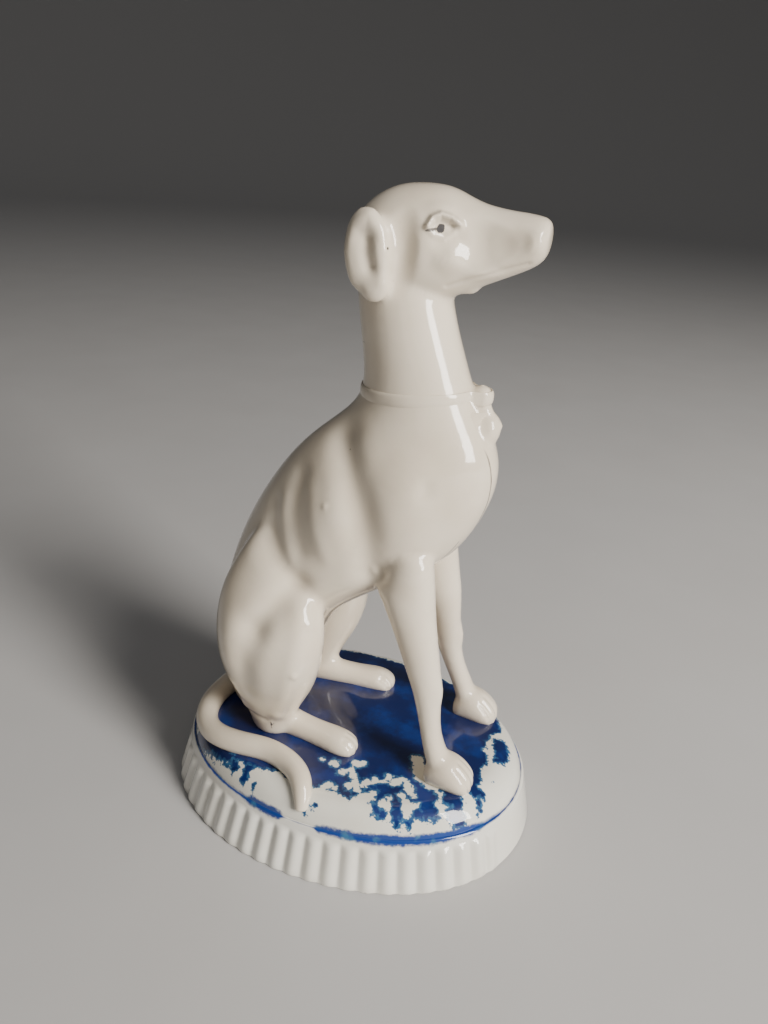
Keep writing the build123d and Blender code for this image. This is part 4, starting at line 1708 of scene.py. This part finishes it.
@dataclass
class Studio:
    """A pale table, soft light from the dog's front, and a camera close to the figure."""

    camera_place: Point = (46.3, -128.5, 132.0)
    azimuth: float = 18.19
    down: float = 25.42
    roll: float = 4.0
    lens: float = 27.07
    table_radius: float = 1.6
    curve_steps: int = 14
    curve_step: float = 6.0

    def floor(self) -> None:
        """Lay a pale table that curves up all round, with a very faint mottle and a painted pool of light:
        paler near the figure, darker grey far out.
        """
        put_down()
        bpy.ops.mesh.primitive_circle_add(vertices=128, radius=self.table_radius, fill_type="NGON")
        table = settle(bpy.context.object, "table")
        bpy.ops.object.mode_set(mode="EDIT")
        bpy.ops.mesh.select_all(action="SELECT")
        radius, level = self.table_radius, 0.0
        for step in range(1, self.curve_steps + 1):
            angle = math.radians(step * self.curve_step)
            now = self.table_radius * (1 + math.sin(angle))
            height = self.table_radius * (1 - math.cos(angle))
            bpy.ops.mesh.extrude_edges_move(TRANSFORM_OT_translate={"value": (0, 0, height - level)})
            bpy.ops.transform.resize(value=(now / radius, now / radius, 1), center_override=(0, 0, height))
            radius, level = now, height
        bpy.ops.object.mode_set(mode="OBJECT")
        smooth_shading(table, 60)
        sheet = Sheet("table_top")
        mottle = sheet.noise(40.0, 3.0, 0.5)
        colour = sheet.mix(mottle, (0.48, 0.47, 0.46), (0.53, 0.52, 0.51))
        # Painted pool of light: the table is paler near the figure and darker grey far out.
        away = sheet.vector("LENGTH", sheet.place, value="Value")
        colour = sheet.mix(sheet.ramp(away, 250.0, 1500.0), colour, (0.38, 0.375, 0.37))
        sheet.link(colour, sheet.shader.inputs["Base Color"])
        sheet.shader.inputs["Roughness"].default_value = 0.85
        table.data.materials.append(sheet.material)

    def lamp(self, name: str, azimuth: float, elevation: float, distance: float,
             size: tuple[float, float], power: float, colour: Colour) -> None:
        """Set up one soft box that faces the figure.

        Args:
            name: The lamp's name.
            azimuth: Degrees from the dog's right side towards its front.
            elevation: Degrees above the table.
            distance: Metres from the figure.
            size: Width and height in metres.
            power: Watts.
            colour: The light's tint.
        """
        put_down()
        turn, up = math.radians(azimuth), math.radians(elevation)
        away = Vector((math.sin(turn) * math.cos(up), -math.cos(turn) * math.cos(up), math.sin(up)))
        aim = Vector((0, 0, 60 * MM))
        bpy.ops.object.light_add(type="AREA", location=aim + away * distance)
        lamp = bpy.context.object
        lamp.name = lamp.data.name = name
        lamp.data.shape = "RECTANGLE"
        lamp.data.size, lamp.data.size_y = size
        lamp.data.energy = power
        lamp.data.color = colour
        lamp.rotation_euler = away.to_track_quat("Z", "Y").to_euler()

    def light(self) -> None:
        """Set up the window-like key, a soft fill and a dim room."""
        self.lamp("key", azimuth=68, elevation=26, distance=0.75, size=(0.22, 0.58), power=12.0,
                  colour=(1.0, 0.962, 0.91))
        self.lamp("fill", azimuth=10, elevation=60, distance=1.1, size=(0.9, 0.9), power=0.6,
                  colour=(1.0, 0.99, 0.97))
        world = bpy.data.worlds.new("room")
        world.use_nodes = True
        backdrop = world.node_tree.nodes["Background"]
        backdrop.inputs["Color"].default_value = (0.80, 0.80, 0.82, 1.0)
        backdrop.inputs["Strength"].default_value = 0.14
        bpy.context.scene.world = world

    def camera(self) -> None:
        """Set up the camera, above the dog's right side and a little towards its front."""
        put_down()
        bpy.ops.object.camera_add(location=Vector(self.camera_place) * MM)
        camera = bpy.context.object
        camera.name = "camera"
        camera.data.lens = self.lens
        camera.data.sensor_width = 36.0
        camera.data.clip_start = 0.01
        turn, down, roll = (math.radians(a) for a in (self.azimuth, self.down, self.roll))
        back = Vector((math.sin(turn) * math.cos(down), -math.cos(turn) * math.cos(down), math.sin(down)))
        right = Vector((math.cos(turn), math.sin(turn), 0))
        up = back.cross(right)
        tilted_right = right * math.cos(roll) + up * math.sin(roll)
        tilted_up = up * math.cos(roll) - right * math.sin(roll)
        frame_axes = Matrix((tilted_right, tilted_up, back)).transposed()
        camera.rotation_euler = frame_axes.to_euler()
        bpy.context.scene.camera = camera

    def build(self) -> None:
        """Set up the whole studio."""
        self.floor()
        self.light()
        self.camera()


# ---- Assembly ---------------------------------------------------------------------------------------


@dataclass
class Finishes:
    """The four finishes, by the record's material slots."""

    # The third colour of each glaze is the tint of its hollows: partly pooled glaze, partly painted shade.
    cream: DogGlaze = field(default_factory=lambda: DogGlaze(
        "cream_glaze", (0.79, 0.70, 0.565), (0.73, 0.635, 0.50), (0.48, 0.40, 0.30)))
    white: Glaze = field(default_factory=lambda: Glaze(
        "white_glaze", (0.80, 0.785, 0.715), (0.76, 0.735, 0.655), (0.60, 0.57, 0.48)))
    ground: GroundGlaze = field(default_factory=lambda: GroundGlaze(
        "blue_ground_glaze", (0.80, 0.785, 0.70), (0.76, 0.735, 0.64), (0.60, 0.57, 0.48)))
    biscuit: Biscuit = field(default_factory=Biscuit)

    def build(self) -> dict[str, bpy.types.Material]:
        """Build the materials, by slot.

        Returns:
            The materials.
        """
        return {
            "glaze_cream": self.cream.material(),
            "glaze_white": self.ground.wall_material(self.white),
            "glaze_blue_ground": self.ground.material(),
            "biscuit": self.biscuit.material(),
        }


def install(node: str, piece: bpy.types.Object, slot: str, material: bpy.types.Material) -> None:
    """Finish a piece and put it in its node's place.

    Args:
        node: The CAD node that it stands for.
        piece: The piece.
        slot: The record's material slot.
        material: The finish.
    """
    piece.data.materials.clear()
    piece.data.materials.append(material)
    smooth_shading(piece)
    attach(piece, "root")
    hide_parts(node)
    faces = len(piece.data.polygons)
    LOG.info("%s replaces %s, %d faces, %s", piece.name, node, faces, slot)


def main() -> None:
    """Build the figure and its studio."""
    logging.basicConfig(level=logging.INFO, format="%(name)s: %(message)s")
    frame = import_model()
    slots = {row["node"]: row["material_slot"] for row in frame["record"]["subparts"]}
    finishes = Finishes().build()
    made: dict[str, bpy.types.Object] = {}
    made.update(Plinth().build())
    dog_pieces, skin = Dog().build()
    made.update(dog_pieces)
    made.update(Collar().build(skin))
    made["tail"] = Tail().build()
    for node, piece in made.items():
        install(node, piece, slots[node], finishes[slots[node]])
    for node in ("seam_roll_back", "seam_roll_front"):
        roll = frame["nodes"][node]
        roll.data.materials.clear()
        roll.data.materials.append(finishes["biscuit"])
    Studio().build()
    put_down()


if __name__ == "__main__":
    main()
